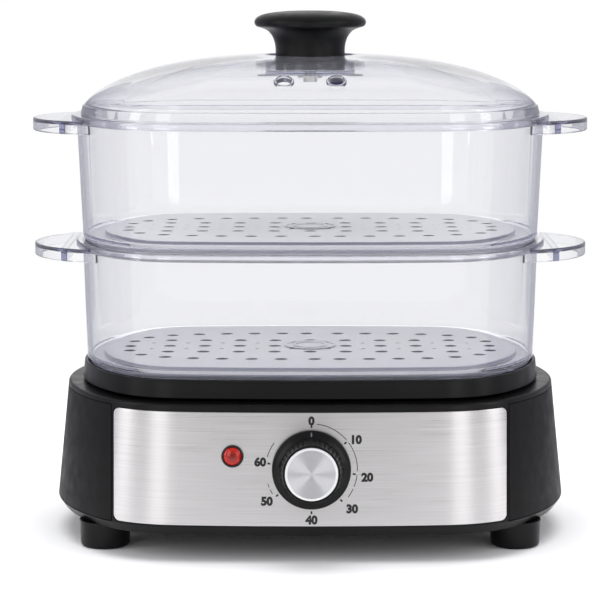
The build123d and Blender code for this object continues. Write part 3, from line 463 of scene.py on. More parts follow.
absIor, propyleneIor = 1.54, 1.49
satinBlack = surface("satin_black_abs", "#080809", 0.34, ior=absIor, grainSize=0.4,
                     grainHeight=0.006, specular=0.18)
mattBlack = surface("textured_black_abs", "#0b0b0c", 0.5, ior=absIor, grainSize=0.35,
                    grainHeight=0.03, specular=0.14)
glossBlack = surface("gloss_black_abs", "#0b0b0c", 0.16, ior=absIor, grainSize=0.6,
                     grainHeight=0.003, roughSpread=0.03, specular=0.4)
basinBlack = surface("basin_polypropylene", "#2a2a2d", 0.42, ior=propyleneIor, grainSize=0.8)
trayBlack = surface("textured_tray_polypropylene", "#0c0c0d", 0.62, ior=propyleneIor,
                    grainSize=0.35, grainHeight=0.03, specular=0.08)
castAlloy = surface("turned_cast_aluminium", "#b9b9bc", 0.36, metallic=1.0, grainSize=0.6,
                    grainHeight=0.02)
elementSteel = surface("heat_tinted_steel", "#8a8078", 0.42, metallic=1.0, grainSize=1.2)
zincSteel = surface("zinc_plated_steel", "#c6c6c0", 0.3, metallic=1.0, grainHeight=0.006)
siliconeRed = surface("silicone_rubber", "#a04a3a", 0.55, ior=1.41)
glandRubber = surface("gland_rubber", "#17171a", 0.6, ior=1.52, grainSize=0.4,
                      grainHeight=0.02)
phenolic = surface("phenolic_moulding", "#4a3426", 0.48, ior=1.6, grainSize=0.9, shade=0.25)
printInk = surface("screen_printed_ink", "#0a0a0b", 0.5, grainSize=0.3, grainHeight=0.003)
greyInk = surface("grey_printed_ink", "#5e5e62", 0.5, grainSize=0.3, grainHeight=0.003)
steelSheet = brushedSteel("brushed_stainless", "#cdcbcb", 0.3)
clearSan = clearPlastic("clear_san", san["tint"], san["density"], 0.015, san["ior"],
                        san["haze"])
frostedSan = frostedPlastic("textured_clear_san", san["tint"], san["density"] / 4,
                            san["frosted"], 0.3, san["ior"], san["frostedMilk"])
# painted shade on the walls of the floor holes
holeWallShadeSan = surface("hole_wall_painted_shade", san["holeWallShade"], 0.3, ior=san["ior"], grainSize=0.6)
bulbGlass = clearPlastic("neon_bulb_glass", (0.5, 0.45, 0.4, 1), 8.0, 0.0, 1.52)
print("materials ready")


# Geometry node trees for perforated plates and for repeated print.
def newTree(name, **kinds):
    tree = bpy.data.node_groups.new(name, "GeometryNodeTree")
    for label, kind in {"Geometry": "Geometry", **kinds}.items():
        tree.interface.new_socket(label, in_out="INPUT", socket_type="NodeSocket" + kind)
    tree.interface.new_socket("Geometry", in_out="OUTPUT", socket_type="NodeSocketGeometry")
    return tree, addNode(tree, "NodeGroupInput").outputs


def geometry(tree, kind, **inputs):
    return addNode(tree, "GeometryNode" + kind, inputs).outputs[0]


def joined(tree, *parts):
    node = addNode(tree, "GeometryNodeJoinGeometry")
    for part in parts:
        tree.links.new(part, node.inputs[0])
    return node.outputs[0]


def attribute(tree, name, kind="FLOAT"):
    node = addNode(tree, "GeometryNodeInputNamedAttribute", {"Name": name}, data_type=kind)
    return node.outputs["Attribute"]


def meshOf(tree, source):
    return addNode(tree, "GeometryNodeObjectInfo", {"Object": source}).outputs["Geometry"]


def onlyHeight(tree, value):
    return addNode(tree, "ShaderNodeCombineXYZ", {"Z": value}).outputs[0]


def onPoints(tree, points, shape, **inputs):
    # the shape on every point, turned by the point's hole_turn
    turned = onlyHeight(tree, attribute(tree, "hole_turn"))
    placed = geometry(tree, "InstanceOnPoints", Points=points, Instance=shape, Rotation=turned,
                      **inputs)
    return geometry(tree, "RealizeInstances", Geometry=placed)


def endTree(tree, result, material):
    real = geometry(tree, "RealizeInstances", Geometry=result)
    painted = geometry(tree, "SetMaterial", Geometry=real, Material=material)
    addNode(tree, "NodeGroupOutput", {"Geometry": painted})
    return tree


def makePerforationTree():
    # The points carry hole_size and hole_turn. Two sheets are filled between the plate's
    # outline and the holes, and a chamfered wall goes round each hole.
    tree, given = newTree("perforated_plate", Outline="Object", Hole="Object", Wall="Object",
                          Top="Float", Bottom="Float", Chamfer="Float", Material="Material")
    calc, move = partial(mathNode, tree), partial(vectorNode, tree)
    top, bottom, chamfer = given["Top"], given["Bottom"], given["Chamfer"]
    size = attribute(tree, "hole_size")
    centre = attribute(tree, "hole_centre", "FLOAT_VECTOR")
    here = geometry(tree, "InputPosition")
    points = addNode(tree, "GeometryNodeStoreNamedAttribute", {
        "Geometry": given["Geometry"], "Name": "hole_centre", "Value": here},
        data_type="FLOAT_VECTOR", domain="POINT").outputs[0]

    holeLine = geometry(tree, "MeshToCurve", Mesh=meshOf(tree, given["Hole"]))
    edgeLine = geometry(tree, "MeshToCurve", Mesh=meshOf(tree, given["Outline"]))
    openings = onPoints(tree, points, holeLine, Scale=calc("ADD", size, chamfer))
    sheet = geometry(tree, "FillCurve", Curve=joined(tree, edgeLine, openings))
    sheets = [geometry(tree, "Transform", Geometry=sheet, Translation=onlyHeight(tree, level))
              for level in (top, bottom)]

    # a hole's wall starts as four rings at heights 0 to 3, each moved to its real place
    walls = onPoints(tree, points, meshOf(tree, given["Wall"]))
    local = move("SUBTRACT", here, centre)
    ring = addNode(tree, "ShaderNodeSeparateXYZ", {0: local}).outputs[2]
    fromMiddle = calc("SUBTRACT", ring, 1.5)
    atEnd = calc("GREATER_THAN", calc("ABSOLUTE", fromMiddle), 1.0)
    cut = calc("MULTIPLY", atEnd, chamfer)
    halfThick = calc("MULTIPLY", calc("SUBTRACT", top, bottom), 0.5)
    rise = calc("ADD", calc("SUBTRACT", halfThick, chamfer), cut)
    middle = calc("MULTIPLY", calc("ADD", top, bottom), 0.5)
    height = calc("ADD", calc("MULTIPLY", rise, calc("SIGN", fromMiddle)), middle)
    flat = move("MULTIPLY", local, (1, 1, 0))
    scaled = addNode(tree, "ShaderNodeVectorMath", {0: flat, "Scale": calc("ADD", cut, size)},
                     operation="SCALE").outputs[0]
    final = move("ADD", move("ADD", scaled, onlyHeight(tree, height)), centre)
    placed = geometry(tree, "SetPosition", Geometry=walls, Position=final)
    whole = joined(tree, placed, *sheets)
    merged = geometry(tree, "MergeByDistance", Geometry=whole, Distance=0.002)
    return endTree(tree, merged, given["Material"])


def makeScatterTree():
    tree, given = newTree("scattered_shape", Shape="Object", Material="Material")
    placed = onPoints(tree, given["Geometry"], meshOf(tree, given["Shape"]))
    return endTree(tree, placed, given["Material"])


perforationTree = makePerforationTree()
scatterTree = makeScatterTree()


def runTree(piece, tree, **values):
    step = piece.modifiers.new(tree.name, "NODES")
    step.node_group = tree
    sockets = {s.name: s.identifier for s in tree.interface.items_tree if s.in_out == "INPUT"}
    for name, value in values.items():
        step[sockets[name]] = value
    bake(piece)
    for value in values.values():
        if isinstance(value, bpy.types.Object):
            bpy.data.objects.remove(value)


def loopPiece(name, points):
    count = len(points)
    return newPiece(name, points, [], [(i, (i + 1) % count) for i in range(count)])


def holePoints(name, places):
    # places are (x, y, size, turn)
    piece = newPiece(name, [(x, y, 0) for x, y, size, turn in places], [])
    for key, column in (("hole_size", 2), ("hole_turn", 3)):
        values = piece.data.attributes.new(key, "FLOAT", "POINT")
        values.data.foreach_set("value", [place[column] for place in places])
    return piece


def perforate(outline, hole, places, top, bottom, chamfer, material):
    piece = holePoints("floor", places)
    flat = [Vector((p.x, p.y, 0)) for p in outline]
    rings = [[Vector((p.x, p.y, level)) for p in hole] for level in range(4)]
    runTree(piece, perforationTree, Outline=loopPiece("outline", flat),
            Hole=loopPiece("hole", hole), Wall=newPiece("wall", *shell(rings)), Top=top,
            Bottom=bottom, Chamfer=chamfer, Material=material)
    return piece


# Base.
base = {
    "foot": 15.0,
    "turnIn": 20.0,
    "deck": 87.0,
    "bottomGrowth": 12.5,
    "widestGrowth": 16.1,
    "topGrowth": 9.2,
    "wall": 3.6,
    "deckThickness": 2.5,
    "openingGrowth": -22.0,
    "deckEdge": 1.6,
}
panel = {
    "halfWidth": 108.4,
    "bottom": 21.1,
    "height": 61.8,
    "corner": 3.4,
    "thickness": 0.8,
    "gap": 0.4,
    "edge": [(0.45, 0), (0.12, -0.1), (0, -0.3)],  # inset and lift
    "columnStep": 4.0,  # how finely it is divided before it is bent round the front
    "rowStep": 12.0,
}
skin = {
    "cut": 109.7,
    "bottom": 20.4,
    "top": 84.0,
    "thickness": 1.6,
    "gap": 0.3,
    "edge": 0.5,
    "cornerSteps": 12,
    "endSteps": 17,
}
foot = {
    "x": 115.5,
    "y": 57.0,
    "radius": 14.3,
    "bottomRadius": 13.6,
    "recess": 5.0,
    "recessDepth": 9.0,
    "screw": 1.55,
}
lean = atan2(base["widestGrowth"] - base["topGrowth"], base["deck"] - base["turnIn"])
panelMiddle = panel["bottom"] + panel["height"] / 2


def baseGrowth(height):
    share = (height - base["turnIn"]) / (base["deck"] - base["turnIn"])
    return base["widestGrowth"] + share * (base["topGrowth"] - base["widestGrowth"])


def facePoint(x, height, lift=0.0):
    # place on the leaning, bowed front of the base, lifted off it along its normal
    growth = baseGrowth(height)
    side = 1 if x >= 0 else -1
    arcs = [(0, bowCentre.y, plan["frontBow"], frontTurn),
            (cornerX, cornerY, plan["corner"], cornerTurn),
            (endCentre.x, 0, plan["endBow"], pi)]
    for midX, midY, radius, limit in arcs:
        reach = radius + growth
        share = min(1.0, (abs(x) - midX) / reach)
        if share <= sin(limit) or limit == pi:
            break
    away = sqrt(1 - share ** 2)
    normal = Vector((side * share * cos(lean), -away * cos(lean), sin(lean)))
    return Vector((side * (midX + reach * share), midY - reach * away, height)) + normal * lift


def frontPlace(x, height):
    # frame on the front of the base: across, up along the lean, and out
    turn = asin(x / (plan["frontBow"] + baseGrowth(height)))
    right = Vector((cos(turn), sin(turn), 0))
    out = Vector((sin(turn) * cos(lean), -cos(turn) * cos(lean), sin(lean)))
    turned = Matrix((right, out.cross(right), out)).transposed().to_4x4()
    return Matrix.Translation(facePoint(x, height)) @ turned, out


def wrap(piece):
    # a flat piece, x across and y up, goes onto the front
    for vertex in piece.data.vertices:
        vertex.co = facePoint(*vertex.co)


def plate(name, grown, layers):
    # rounded rectangle on the front; layers are (inset, lift) from the face out and back
    halves = (panel["halfWidth"] + grown, panel["height"] / 2 + grown)
    corner = panel["corner"] + grown
    core = [half - corner for half in halves]
    inset, lift = layers[0]
    work = bmesh.new()
    outline = []
    for sideX, sideY, start in ((1, 1, 0), (-1, 1, 1), (-1, -1, 2), (1, -1, 3)):
        for k in range(7):
            turn = (start + k / 6) * pi / 2
            outline.append((sideX * core[0] + (corner - inset) * cos(turn),
                            sideY * core[1] + (corner - inset) * sin(turn)))
    work.faces.new([work.verts.new((x, y, lift)) for x, y in outline])
    for axis, spacing in enumerate((panel["columnStep"], panel["rowStep"])):
        normal = Vector((1 - axis, axis, 0))
        count = int(halves[axis] // spacing)
        for k in range(-count, count + 1):
            bmesh.ops.bisect_plane(work, geom=work.verts[:] + work.edges[:] + work.faces[:],
                                   plane_co=normal * k * spacing, plane_no=normal)
    front = work.faces[:]
    back = bmesh.ops.duplicate(work, geom=work.verts[:] + work.edges[:] + front)["geom"]
    for vertex in [g for g in back if isinstance(g, bmesh.types.BMVert)]:
        vertex.co.z = layers[-1][1]
    edge = [e for e in work.edges if e.is_boundary and e.link_faces[0] in set(front)]
    for inset, lift in layers[1:]:
        pulled = bmesh.ops.extrude_edge_only(work, edges=edge)["geom"]
        edge = [g for g in pulled if isinstance(g, bmesh.types.BMEdge)]
        for vertex in [g for g in pulled if isinstance(g, bmesh.types.BMVert)]:
            near = Vector([max(-core[i], min(core[i], vertex.co[i])) for i in (0, 1)])
            away = (Vector(vertex.co[:2]) - near).normalized() * (corner - inset)
            vertex.co = (near.x + away.x, near.y + away.y, lift)
    piece = newPiece(name, [], [])
    work.to_mesh(piece.data)
    work.free()
    clean(piece)
    piece.data.transform(Matrix.Translation((0, panelMiddle, 0)))
    wrap(piece)
    clean(piece)
    return piece


def cheek(name, side, grown, depth, proud):
    # skin round one end of the base, from depth under its surface to proud of it
    def row(height, under):
        growth = baseGrowth(height) - under
        reach, endReach = plan["corner"] + growth, plan["endBow"] + growth
        start = asin((skin["cut"] - grown - cornerX) / reach)
        line = [(cornerX + reach * sin(t), cornerY - reach * cos(t))
                for t in evenly(start, cornerTurn, skin["cornerSteps"])]
        line += [(endCentre.x + endReach * sin(t), -endReach * cos(t))
                 for t in evenly(cornerTurn, pi / 2, skin["endSteps"])]
        line += [(endCentre.x + endReach, 0)] + [(x, -y) for x, y in reversed(line)]
        return [Vector((side * x, y, height)) for x, y in line]

    bottom, top = skin["bottom"] - grown, skin["top"] + grown
    rows = [row(bottom, depth), row(bottom, -proud), row(top, -proud), row(top, depth)]
    count = len(rows[0])
    faces = []
    for k in range(4):
        a, b = k * count, (k + 1) % 4 * count
        faces += [(a + i, a + i + 1, b + i + 1, b + i) for i in range(count - 1)]
    faces += [tuple(k * count + end for k in range(4)) for end in (0, count - 1)]
    piece = newPiece(name, [p for line in rows for p in line], faces)
    clean(piece)
    return piece


underDeck = base["deck"] - base["deckThickness"]
housing = sweep("housing_shell", [
    (base["bottomGrowth"], base["foot"], 0.8),
    (base["widestGrowth"], base["turnIn"], 1.2),
    (base["topGrowth"], base["deck"], base["deckEdge"]),
    (base["openingGrowth"], base["deck"], 0.6),
    (base["openingGrowth"], underDeck),
    (baseGrowth(underDeck) - base["wall"], underDeck, 1.0),
    (base["widestGrowth"] - base["wall"], base["turnIn"]),
    (base["bottomGrowth"] - base["wall"], base["foot"]),
])
clean(housing)
pocket = plate("pocket", panel["gap"], [(0, 1.0), (0, -panel["thickness"])])
combine(housing, pocket, "DIFFERENCE")
for side in (-1, 1):
    pocket = cheek("pocket", side, skin["gap"], skin["thickness"], 1.0)
    combine(housing, pocket, "DIFFERENCE")
finishPiece(housing, satinBlack, "base", ["base_housing"])

for name, side in (("left", -1), ("right", 1)):
    piece = cheek(f"cheek_{name}_skin", side, 0, skin["thickness"], 0)
    soften(piece, skin["edge"], 3)
    finishPiece(piece, mattBlack, "base", [f"side_cheek_{name}"])

fascia = plate("steel_fascia", 0, panel["edge"] + [(0, -panel["thickness"])])
finishPiece(fascia, steelSheet, "base", ["front_panel"])

footProfile = rounded([
    (foot["screw"], base["foot"]),
    (foot["screw"], foot["recessDepth"]),
    (foot["recess"], foot["recessDepth"]),
    (foot["recess"], 0, 0.5),
    (foot["bottomRadius"], 0, 2.0),
    (foot["radius"], base["foot"]),
])
for end, sideY in (("front", -1), ("rear", 1)):
    for flank, sideX in (("left", -1), ("right", 1)):
        place = Matrix.Translation((sideX * foot["x"], sideY * foot["y"], 0))
        piece = lathe(f"foot_{end}_{flank}_moulding", footProfile, 64, place, closed=True)
        finishPiece(piece, satinBlack, "base", [f"foot_{end}_{flank}"])
print("base done")

# Timer dial: knob, cap and the scale printed round them.
dial = {"x": 0.7, "height": panelMiddle, "lathe": 288}
knob = {
    "radius": 21.5,
    "gap": 0.6,
    "skirtEdge": 2.4,
    "slope": [(20.9, 0.35), (19.6, 1.0), (18.2, 2.0), (17.35, 3.4), (17.0, 5.0)],  # over the skirt
    "stemBase": 17.0,
    "stemTop": 15.5,
    "height": 24.0,
    "capRadius": 14.3,
    "capThickness": 1.2,
    "capGap": 0.6,
    "flutes": 36,
    "fluteDepth": 0.55,
    "fluteFrom": 4.6,
    "fluteEnd": 1.2,
    "fluteFades": (1.5, 0.8),  # at the foot and at the top
    "cavity": 18.0,
    "cavityDepth": 3.0,
    "bore": 3.05,
    "boreEnd": 16.8,
    "line": [(20.5, 0.62), (18.4, 1.9)],  # pointer on the skirt, radius and height
    "lineWidth": 0.7,
}
dialPlace, dialOut = frontPlace(dial["x"], dial["height"])
knobFace = knob["height"] - knob["capThickness"]
skirtTop = knob["gap"] + knob["skirtEdge"]
fluteStart, fluteEnd = skirtTop + knob["fluteFrom"], knob["height"] - knob["fluteEnd"]


def fluted(turn, radius, height):
    atFoot, atTop = knob["fluteFades"]
    fade = min(1.0, (height - fluteStart) / atFoot, (fluteEnd - height) / atTop)
    if radius < knob["stemTop"] - 0.2 or fade <= 0:
        return radius
    return radius - knob["fluteDepth"] * fade * (0.5 - 0.5 * cos(knob["flutes"] * turn)) ** 3


slope = [(radius, skirtTop + height) for radius, height in knob["slope"]]
slopeTop = slope[-1][1]
taper = (knob["stemTop"] - knob["stemBase"]) / (knob["height"] - slopeTop)
stem = [(knob["stemBase"] + taper * (height - slopeTop), height)
        for height in evenly(slopeTop + 0.8, fluteEnd + 0.2, 12, 1)]
rimInner = knob["capRadius"] + knob["capGap"]
cavityTop = knob["gap"] + knob["cavityDepth"]
profile = rounded([(knob["bore"], cavityTop), (knob["cavity"], cavityTop),
                   (knob["cavity"], knob["gap"]), (knob["radius"], knob["gap"], 0.3),
                   (knob["radius"], skirtTop, 0.7), slope[0]])
profile = profile[:-1] + smoothLine(slope, 4) + stem
profile += rounded([(knob["stemTop"] + 0.1, knob["height"] - 1.0),
                    (knob["stemTop"], knob["height"], 0.35),
                    (rimInner, knob["height"], 0.12), (rimInner, knobFace)], 3)[1:]
knobPiece = lathe("knob_body", profile + [(0, knobFace)], dial["lathe"], dialPlace, wave=fluted)
bore = lathe("bore", [(knob["bore"], cavityTop), (knob["bore"], knob["boreEnd"]),
                      (0, knob["boreEnd"])], dial["lathe"], dialPlace)
join(knobPiece, bore)
clean(knobPiece)
finishPiece(knobPiece, satinBlack, "dial", ["timer_knob"], angle=50)

cap = {"rim": 13.1, "dish": 12.8, "dishLevel": 1.08, "polishedHighlitFrom": 13.0}
capPlace = dialPlace @ Matrix.Translation((0, 0, knobFace))
capPiece = lathe("knob_cap_disc", rounded([
    (0, 0), (knob["capRadius"], 0), (knob["capRadius"], knob["capThickness"], 0.25),
    (cap["rim"], knob["capThickness"], 0.1), (cap["dish"], cap["dishLevel"], 0.1),
    (0, cap["dishLevel"])], 3), 128, capPlace)
capCentre = capPlace @ Vector((0, 0, 1.1))
# the second colour is the rim's painted highlight
spunCap = spunAluminium("spun_aluminium", "#cfcfd1", "#eeeeef", 0.4, capCentre * mm, dialOut,
                        cap["polishedHighlitFrom"] * mm)
finishPiece(capPiece, spunCap, "dial", ["knob_cap"])

half, (outer, inner) = knob["lineWidth"] / 2, knob["line"]
corners = [(-half, *outer), (half, *outer), (half, *inner), (-half, *inner)]
pointer = newPiece("knob_pointer_line", [dialPlace @ Vector((x, y, skirtTop + up))
                                         for x, y, up in corners], [(0, 1, 2, 3)])
finishPiece(pointer, greyInk, "dial")

scale = {  # angles in degrees, clockwise from the top
    "numbers": [(0, 26.6), (56.5, 29.6), (98, 30.7), (134, 30.9), (180, 27.5), (234.5, 29.8),
                (278.5, 28.2)],  # angle and radius of each number's middle
    "ticks": [0, 52, 96, 136, 180, 233, 278],
    "tickFrom": 22.6,
    "tickTo": 24.2,
    "tickWidth": 0.95,
    "digitHeight": 4.5,
    "fontSize": 1.38,  # over the height of a digit
    "bold": 0.085,
    "arcRadius": 25.0,
    "arcWidth": 0.42,
    "arcs": [(6.5, 50), (54, 92), (97, 112), (115, 127), (238, 244), (247, 252), (286, 306)],
    "lift": 0.04,
}


def onDial(x, y):
    return dial["x"] + x, dial["height"] + y * cos(lean)


def printedNumber(value, x, y):
    curve = bpy.data.curves.new("number", "FONT")
    curve.body = str(value)
    curve.size = scale["digitHeight"] * scale["fontSize"]
    curve.offset = scale["bold"] * scale["digitHeight"]
    curve.align_x = curve.align_y = "CENTER"
    curve.resolution_u = 3
    text = addObject("number", curve)
    bpy.context.view_layer.update()
    evaluated = text.evaluated_get(bpy.context.evaluated_depsgraph_get())
    mesh = bpy.data.meshes.new_from_object(evaluated)
    bpy.data.objects.remove(text)
    columns = [[v.co[axis] for v in mesh.vertices] for axis in (0, 1)]
    midX, midY = [(min(column) + max(column)) / 2 for column in columns]
    mesh.transform(Matrix.Translation((x - midX, y - midY, scale["lift"])))
    return addObject("number", mesh)


def printedArc(start, end):
    steps = max(3, int((end - start) / 3))
    points = []
    for turn in evenly(start, end, steps, 1):
        for side in (-1, 1):
            reach = scale["arcRadius"] + side * scale["arcWidth"] / 2
            x, y = onDial(reach * sin(radians(turn)), reach * cos(radians(turn)))
            points.append((x, y, scale["lift"]))
    return newPiece("arc", points, [(2 * k, 2 * k + 1, 2 * k + 3, 2 * k + 2)
                                    for k in range(steps)])


marks = [printedNumber(10 * index, *onDial(radius * sin(radians(turn)),
                                           radius * cos(radians(turn))))
         for index, (turn, radius) in enumerate(scale["numbers"])]
marks += [printedArc(start, end) for start, end in scale["arcs"]]
half = scale["tickWidth"] / 2
tick = newPiece("tick", [(x, y, scale["lift"]) for x, y in (
    (-half, scale["tickFrom"]), (half, scale["tickFrom"]), (half, scale["tickTo"]),
    (-half, scale["tickTo"]))], [(0, 1, 2, 3)])
ticks = holePoints("ticks", [(*onDial(0, 0), 1.0, -radians(t)) for t in scale["ticks"]])
runTree(ticks, scatterTree, Shape=tick, Material=printInk)
printed = newPiece("dial_scale_print", [], [])
join(printed, ticks, *marks)
for face in printed.data.polygons:
    if face.normal.z < 0:
        face.flip()
wrap(printed)
finishPiece(printed, printInk, "base")
print("dial done")

# Indicator lamp.
lamp = {
    "x": -42.3,
    "height": 59.1,
    "radius": 5.0,
    "stem": 4.5,
    "stemLength": 16.0,
    "bore": 3.3,
    "boreTop": -1.0,
    "dome": 2.6,
    "domeFrom": 0.5,
    "clear": 0.06,
    "bezelRadius": 6.1,
    "bezelHeight": 1.4,
}
lampPlace, lampOut = frontPlace(lamp["x"], lamp["height"])
lampCentre = facePoint(lamp["x"], lamp["height"])
dome = [(lamp["radius"] * cos(t), lamp["domeFrom"] + (lamp["dome"] - lamp["domeFrom"]) * sin(t))
        for t in evenly(0, pi / 2, 14)]
lens = lathe("lens_dome", [
    (0, lamp["boreTop"]), (lamp["bore"], lamp["boreTop"]), (lamp["bore"], -lamp["stemLength"]),
    (lamp["stem"], -lamp["stemLength"]), (lamp["stem"], lamp["clear"]),
    (lamp["radius"], lamp["clear"]), *dome, (0, lamp["dome"])], 96, lampPlace)
# the second colour is the painted shade over the bore
lensRed = lensPlastic("red_lens", "#aa1709", "#6e1107",
                      (lampCentre + lampOut * lamp["dome"]) * mm, lamp["radius"] * mm)
finishPiece(lens, lensRed, "base", ["lamp_lens"], angle=45)
inner = lamp["radius"] + lamp["clear"]
bezel = lathe("lens_ring", rounded([
    (inner, 0.05), (lamp["bezelRadius"], 0.05),
    (lamp["bezelRadius"], lamp["bezelHeight"], 0.45), (inner, lamp["bezelHeight"], 0.3),
]), 96, lampPlace, closed=True)
finishPiece(bezel, glossBlack, "base", ["lamp_bezel"])
print("lamp done")

# Drip tray.
tray = {
    "top": 98.5,
    "bottom": 88.4,
    "topGrowth": -0.1,
    "bottomGrowth": 1.0,
    "innerGrowth": -2.1,
    "ledge": 94.5,
    "ledgeGrowth": -5.7,
    "floorTop": 90.6,
    "floorBottom": 88.8,
    "skirtGrowth": -28.6,
    "skirtBottom": 82.8,
    "wall": 2.0,
    "edgeGrowth": -34.0,  # where the perforated floor takes over
    "steamRing": 36.0,
    "steamRingTop": 97.6,
    "slots": 12,
    "slotCircle": 22.0,
    "slotLength": 13.0,
    "slotWidth": 5.0,
    "slotChamfer": 0.06,
}
trayPiece = sweep("tray_moulding", [
    (tray["edgeGrowth"], tray["floorTop"]),
    (tray["ledgeGrowth"], tray["floorTop"], 0.8),
    (tray["ledgeGrowth"], tray["ledge"], 0.5),
    (tray["innerGrowth"], tray["ledge"], 0.3),
    (tray["innerGrowth"], tray["top"], 0.5),
    (tray["topGrowth"], tray["top"], 0.6),
    (tray["bottomGrowth"], tray["bottom"], 0.5),
    (tray["ledgeGrowth"], tray["bottom"]),
    (tray["ledgeGrowth"], tray["floorBottom"]),
    (tray["skirtGrowth"], tray["floorBottom"], 0.4),
    (tray["skirtGrowth"], tray["skirtBottom"], 0.4),
    (tray["skirtGrowth"] - tray["wall"], tray["skirtBottom"], 0.4),
    (tray["skirtGrowth"] - tray["wall"], tray["floorBottom"], 0.4),
    (tray["edgeGrowth"], tray["floorBottom"]),
], closed=False)
slotHalf, slotEnd = tray["slotLength"] / 2 - tray["slotWidth"] / 2, tray["slotWidth"] / 2
slotLoop = [Vector((slotHalf + slotEnd * cos(t), slotEnd * sin(t), 0))
            for t in evenly(-pi / 2, pi / 2, 8, 1)]
slotLoop += [-p for p in slotLoop]
slotPlaces = [(tray["slotCircle"] * cos(t), tray["slotCircle"] * sin(t), 1.0, t)
              for t in evenly(0, 2 * pi, tray["slots"])]
trayFloor = perforate(planRing(tray["edgeGrowth"], 0), slotLoop, slotPlaces, tray["floorTop"],
                      tray["floorBottom"], tray["slotChamfer"], satinBlack)
join(trayPiece, trayFloor)
clean(trayPiece)
outer, inner = tray["steamRing"], tray["steamRing"] - tray["wall"]
sunk = tray["floorTop"] - 0.5
steamRing = lathe("ring", rounded([
    (inner, sunk), (outer, sunk), (outer, tray["steamRingTop"], 0.5),
    (inner, tray["steamRingTop"], 0.5)]), 96, closed=True)
join(trayPiece, steamRing)
finishPiece(trayPiece, satinBlack, "drip_tray", ["drip_tray"])
trayPiece.data.materials.append(trayBlack)
for face in trayPiece.data.polygons:
    if face.normal.z > 0.5 and face.center.z / mm < tray["top"] - 1:
        face.material_index = 1
print("tray done")

# Baskets. Growths are how far a wall stands outside the plan.
basket = {
    "wall": 2.2,
    "footHeight": 4.0,
    "cornerRise": 2.4,
    "floorRise": 5.6,
    "floorThickness": 2.2,
    "floorInset": 8.5,
    "floorSeam": 1.0,  # from the step in the floor to its perforated middle
    "rimHeight": 4.0,
    "rimLip": 1.6,
    "rimRadius": 1.1,
    "holeRadius": 3.8,
    "smallHoleRadius": 1.6,
    "smallHolesWithin": 0.9,  # of the ring of the outermost holes
    "holeChamfer": 0.35,
    "holeSides": 20,
    "pitch": 20.4,
    "columns": 4,
    "ringHalfWidth": 105.0,  # the outermost holes stand on a rounded ring
    "ringHalfDepth": 46.0,
    "ringFullness": 3.4,
    "ringCount": 32,
    "ringSteps": 4000,
    "markRadii": (15.0, 10.0),
    "markWidth": 1.6,
    "markHeight": 0.8,
    "markFloor": 0.3,
    "markDepth": 1.0,
}
tiers = {
    "lower_basket": {"shoulder": 98.8, "height": 69.2, "bottomGrowth": -1.5, "topGrowth": 0.3,
                     "rimGrowth": 4.0, "footGrowth": -2.7},
    "upper_basket": {"shoulder": 168.3, "height": 71.2, "bottomGrowth": 0.1, "topGrowth": 3.0,
                     "rimGrowth": 6.0, "footGrowth": -4.1},
}
handle = {
    "reach": 158.6,
    "radius": 49.5,
    "rootX": 112.0,
    "belowRim": 2.0,
    "depth": 7.4,
    "plate": 2.0,
    "wall": 1.8,
    "ribX": 138.0,
    "ribWidth": 3.0,
    "edge": 1.0,
    "pocketEdge": 0.5,
    "sunk": 0.9,  # into the wall of the basket
    "arcSteps": 36,
}
thick, fullness = basket["floorThickness"], basket["ringFullness"]


def ringPoint(turn):
    x = basket["ringHalfWidth"] * abs(cos(turn)) ** (2 / fullness)
    y = basket["ringHalfDepth"] * abs(sin(turn)) ** (2 / fullness)
    return Vector((x if cos(turn) > 0 else -x, y if sin(turn) > 0 else -y))


def ringShare(x, y, spare=0.0):
    # below 1 inside the ring of the outermost holes, made larger by spare
    across = abs(x) / (basket["ringHalfWidth"] + spare)
    return across ** fullness + (abs(y) / (basket["ringHalfDepth"] + spare)) ** fullness


fine = [ringPoint(t) for t in evenly(0, 2 * pi, basket["ringSteps"], 1)]
spacing = sum((b - a).length for a, b in zip(fine, fine[1:])) / basket["ringCount"]
ringPlaces, walked = [], spacing
for a, b in zip(fine, fine[1:]):
    if walked >= spacing:
        ringPlaces.append((a.x, a.y))
        walked -= spacing
    walked += (b - a).length
pitch, columns = basket["pitch"], basket["columns"]
gridPlaces = [(i * pitch, j * pitch) for i in range(-columns, columns + 1) for j in (-1, 0, 1)
              if i or j]
smallPlaces = [((i + 0.5) * pitch, (j + 0.5) * pitch) for i in range(-columns - 1, columns + 1)
               for j in (-1, 0)]
within = basket["smallHolesWithin"] ** fullness
smallPlaces = [place for place in smallPlaces if ringShare(*place) < within]
holePlaces = [(x, y, basket["holeRadius"], 0.0) for x, y in ringPlaces + gridPlaces]
holePlaces += [(x, y, basket["smallHoleRadius"], 0.0) for x, y in smallPlaces]


def prism(name, outline, bottom, top, side, edge, segments):
    rings = [[Vector((side * x, y, level)) for x, y in outline] for level in (bottom, top)]
    piece = newPiece(name, *shell(rings, capped=True))
    clean(piece)
    soften(piece, edge, segments, 50)
    return piece


def discPart(fromX, toX, inset):
    # handle's round plan between two places, its edge moved in by inset
    centre, radius = handle["reach"] - handle["radius"], handle["radius"] - inset
    start, end = [acos(min(1.0, (x - centre) / radius)) for x in (fromX, toX)]
    edge = [(centre + radius * cos(t), radius * sin(t))
            for t in evenly(start, end, handle["arcSteps"], 1)]
    return edge[::-1] + [(x, -y) for x, y in edge]


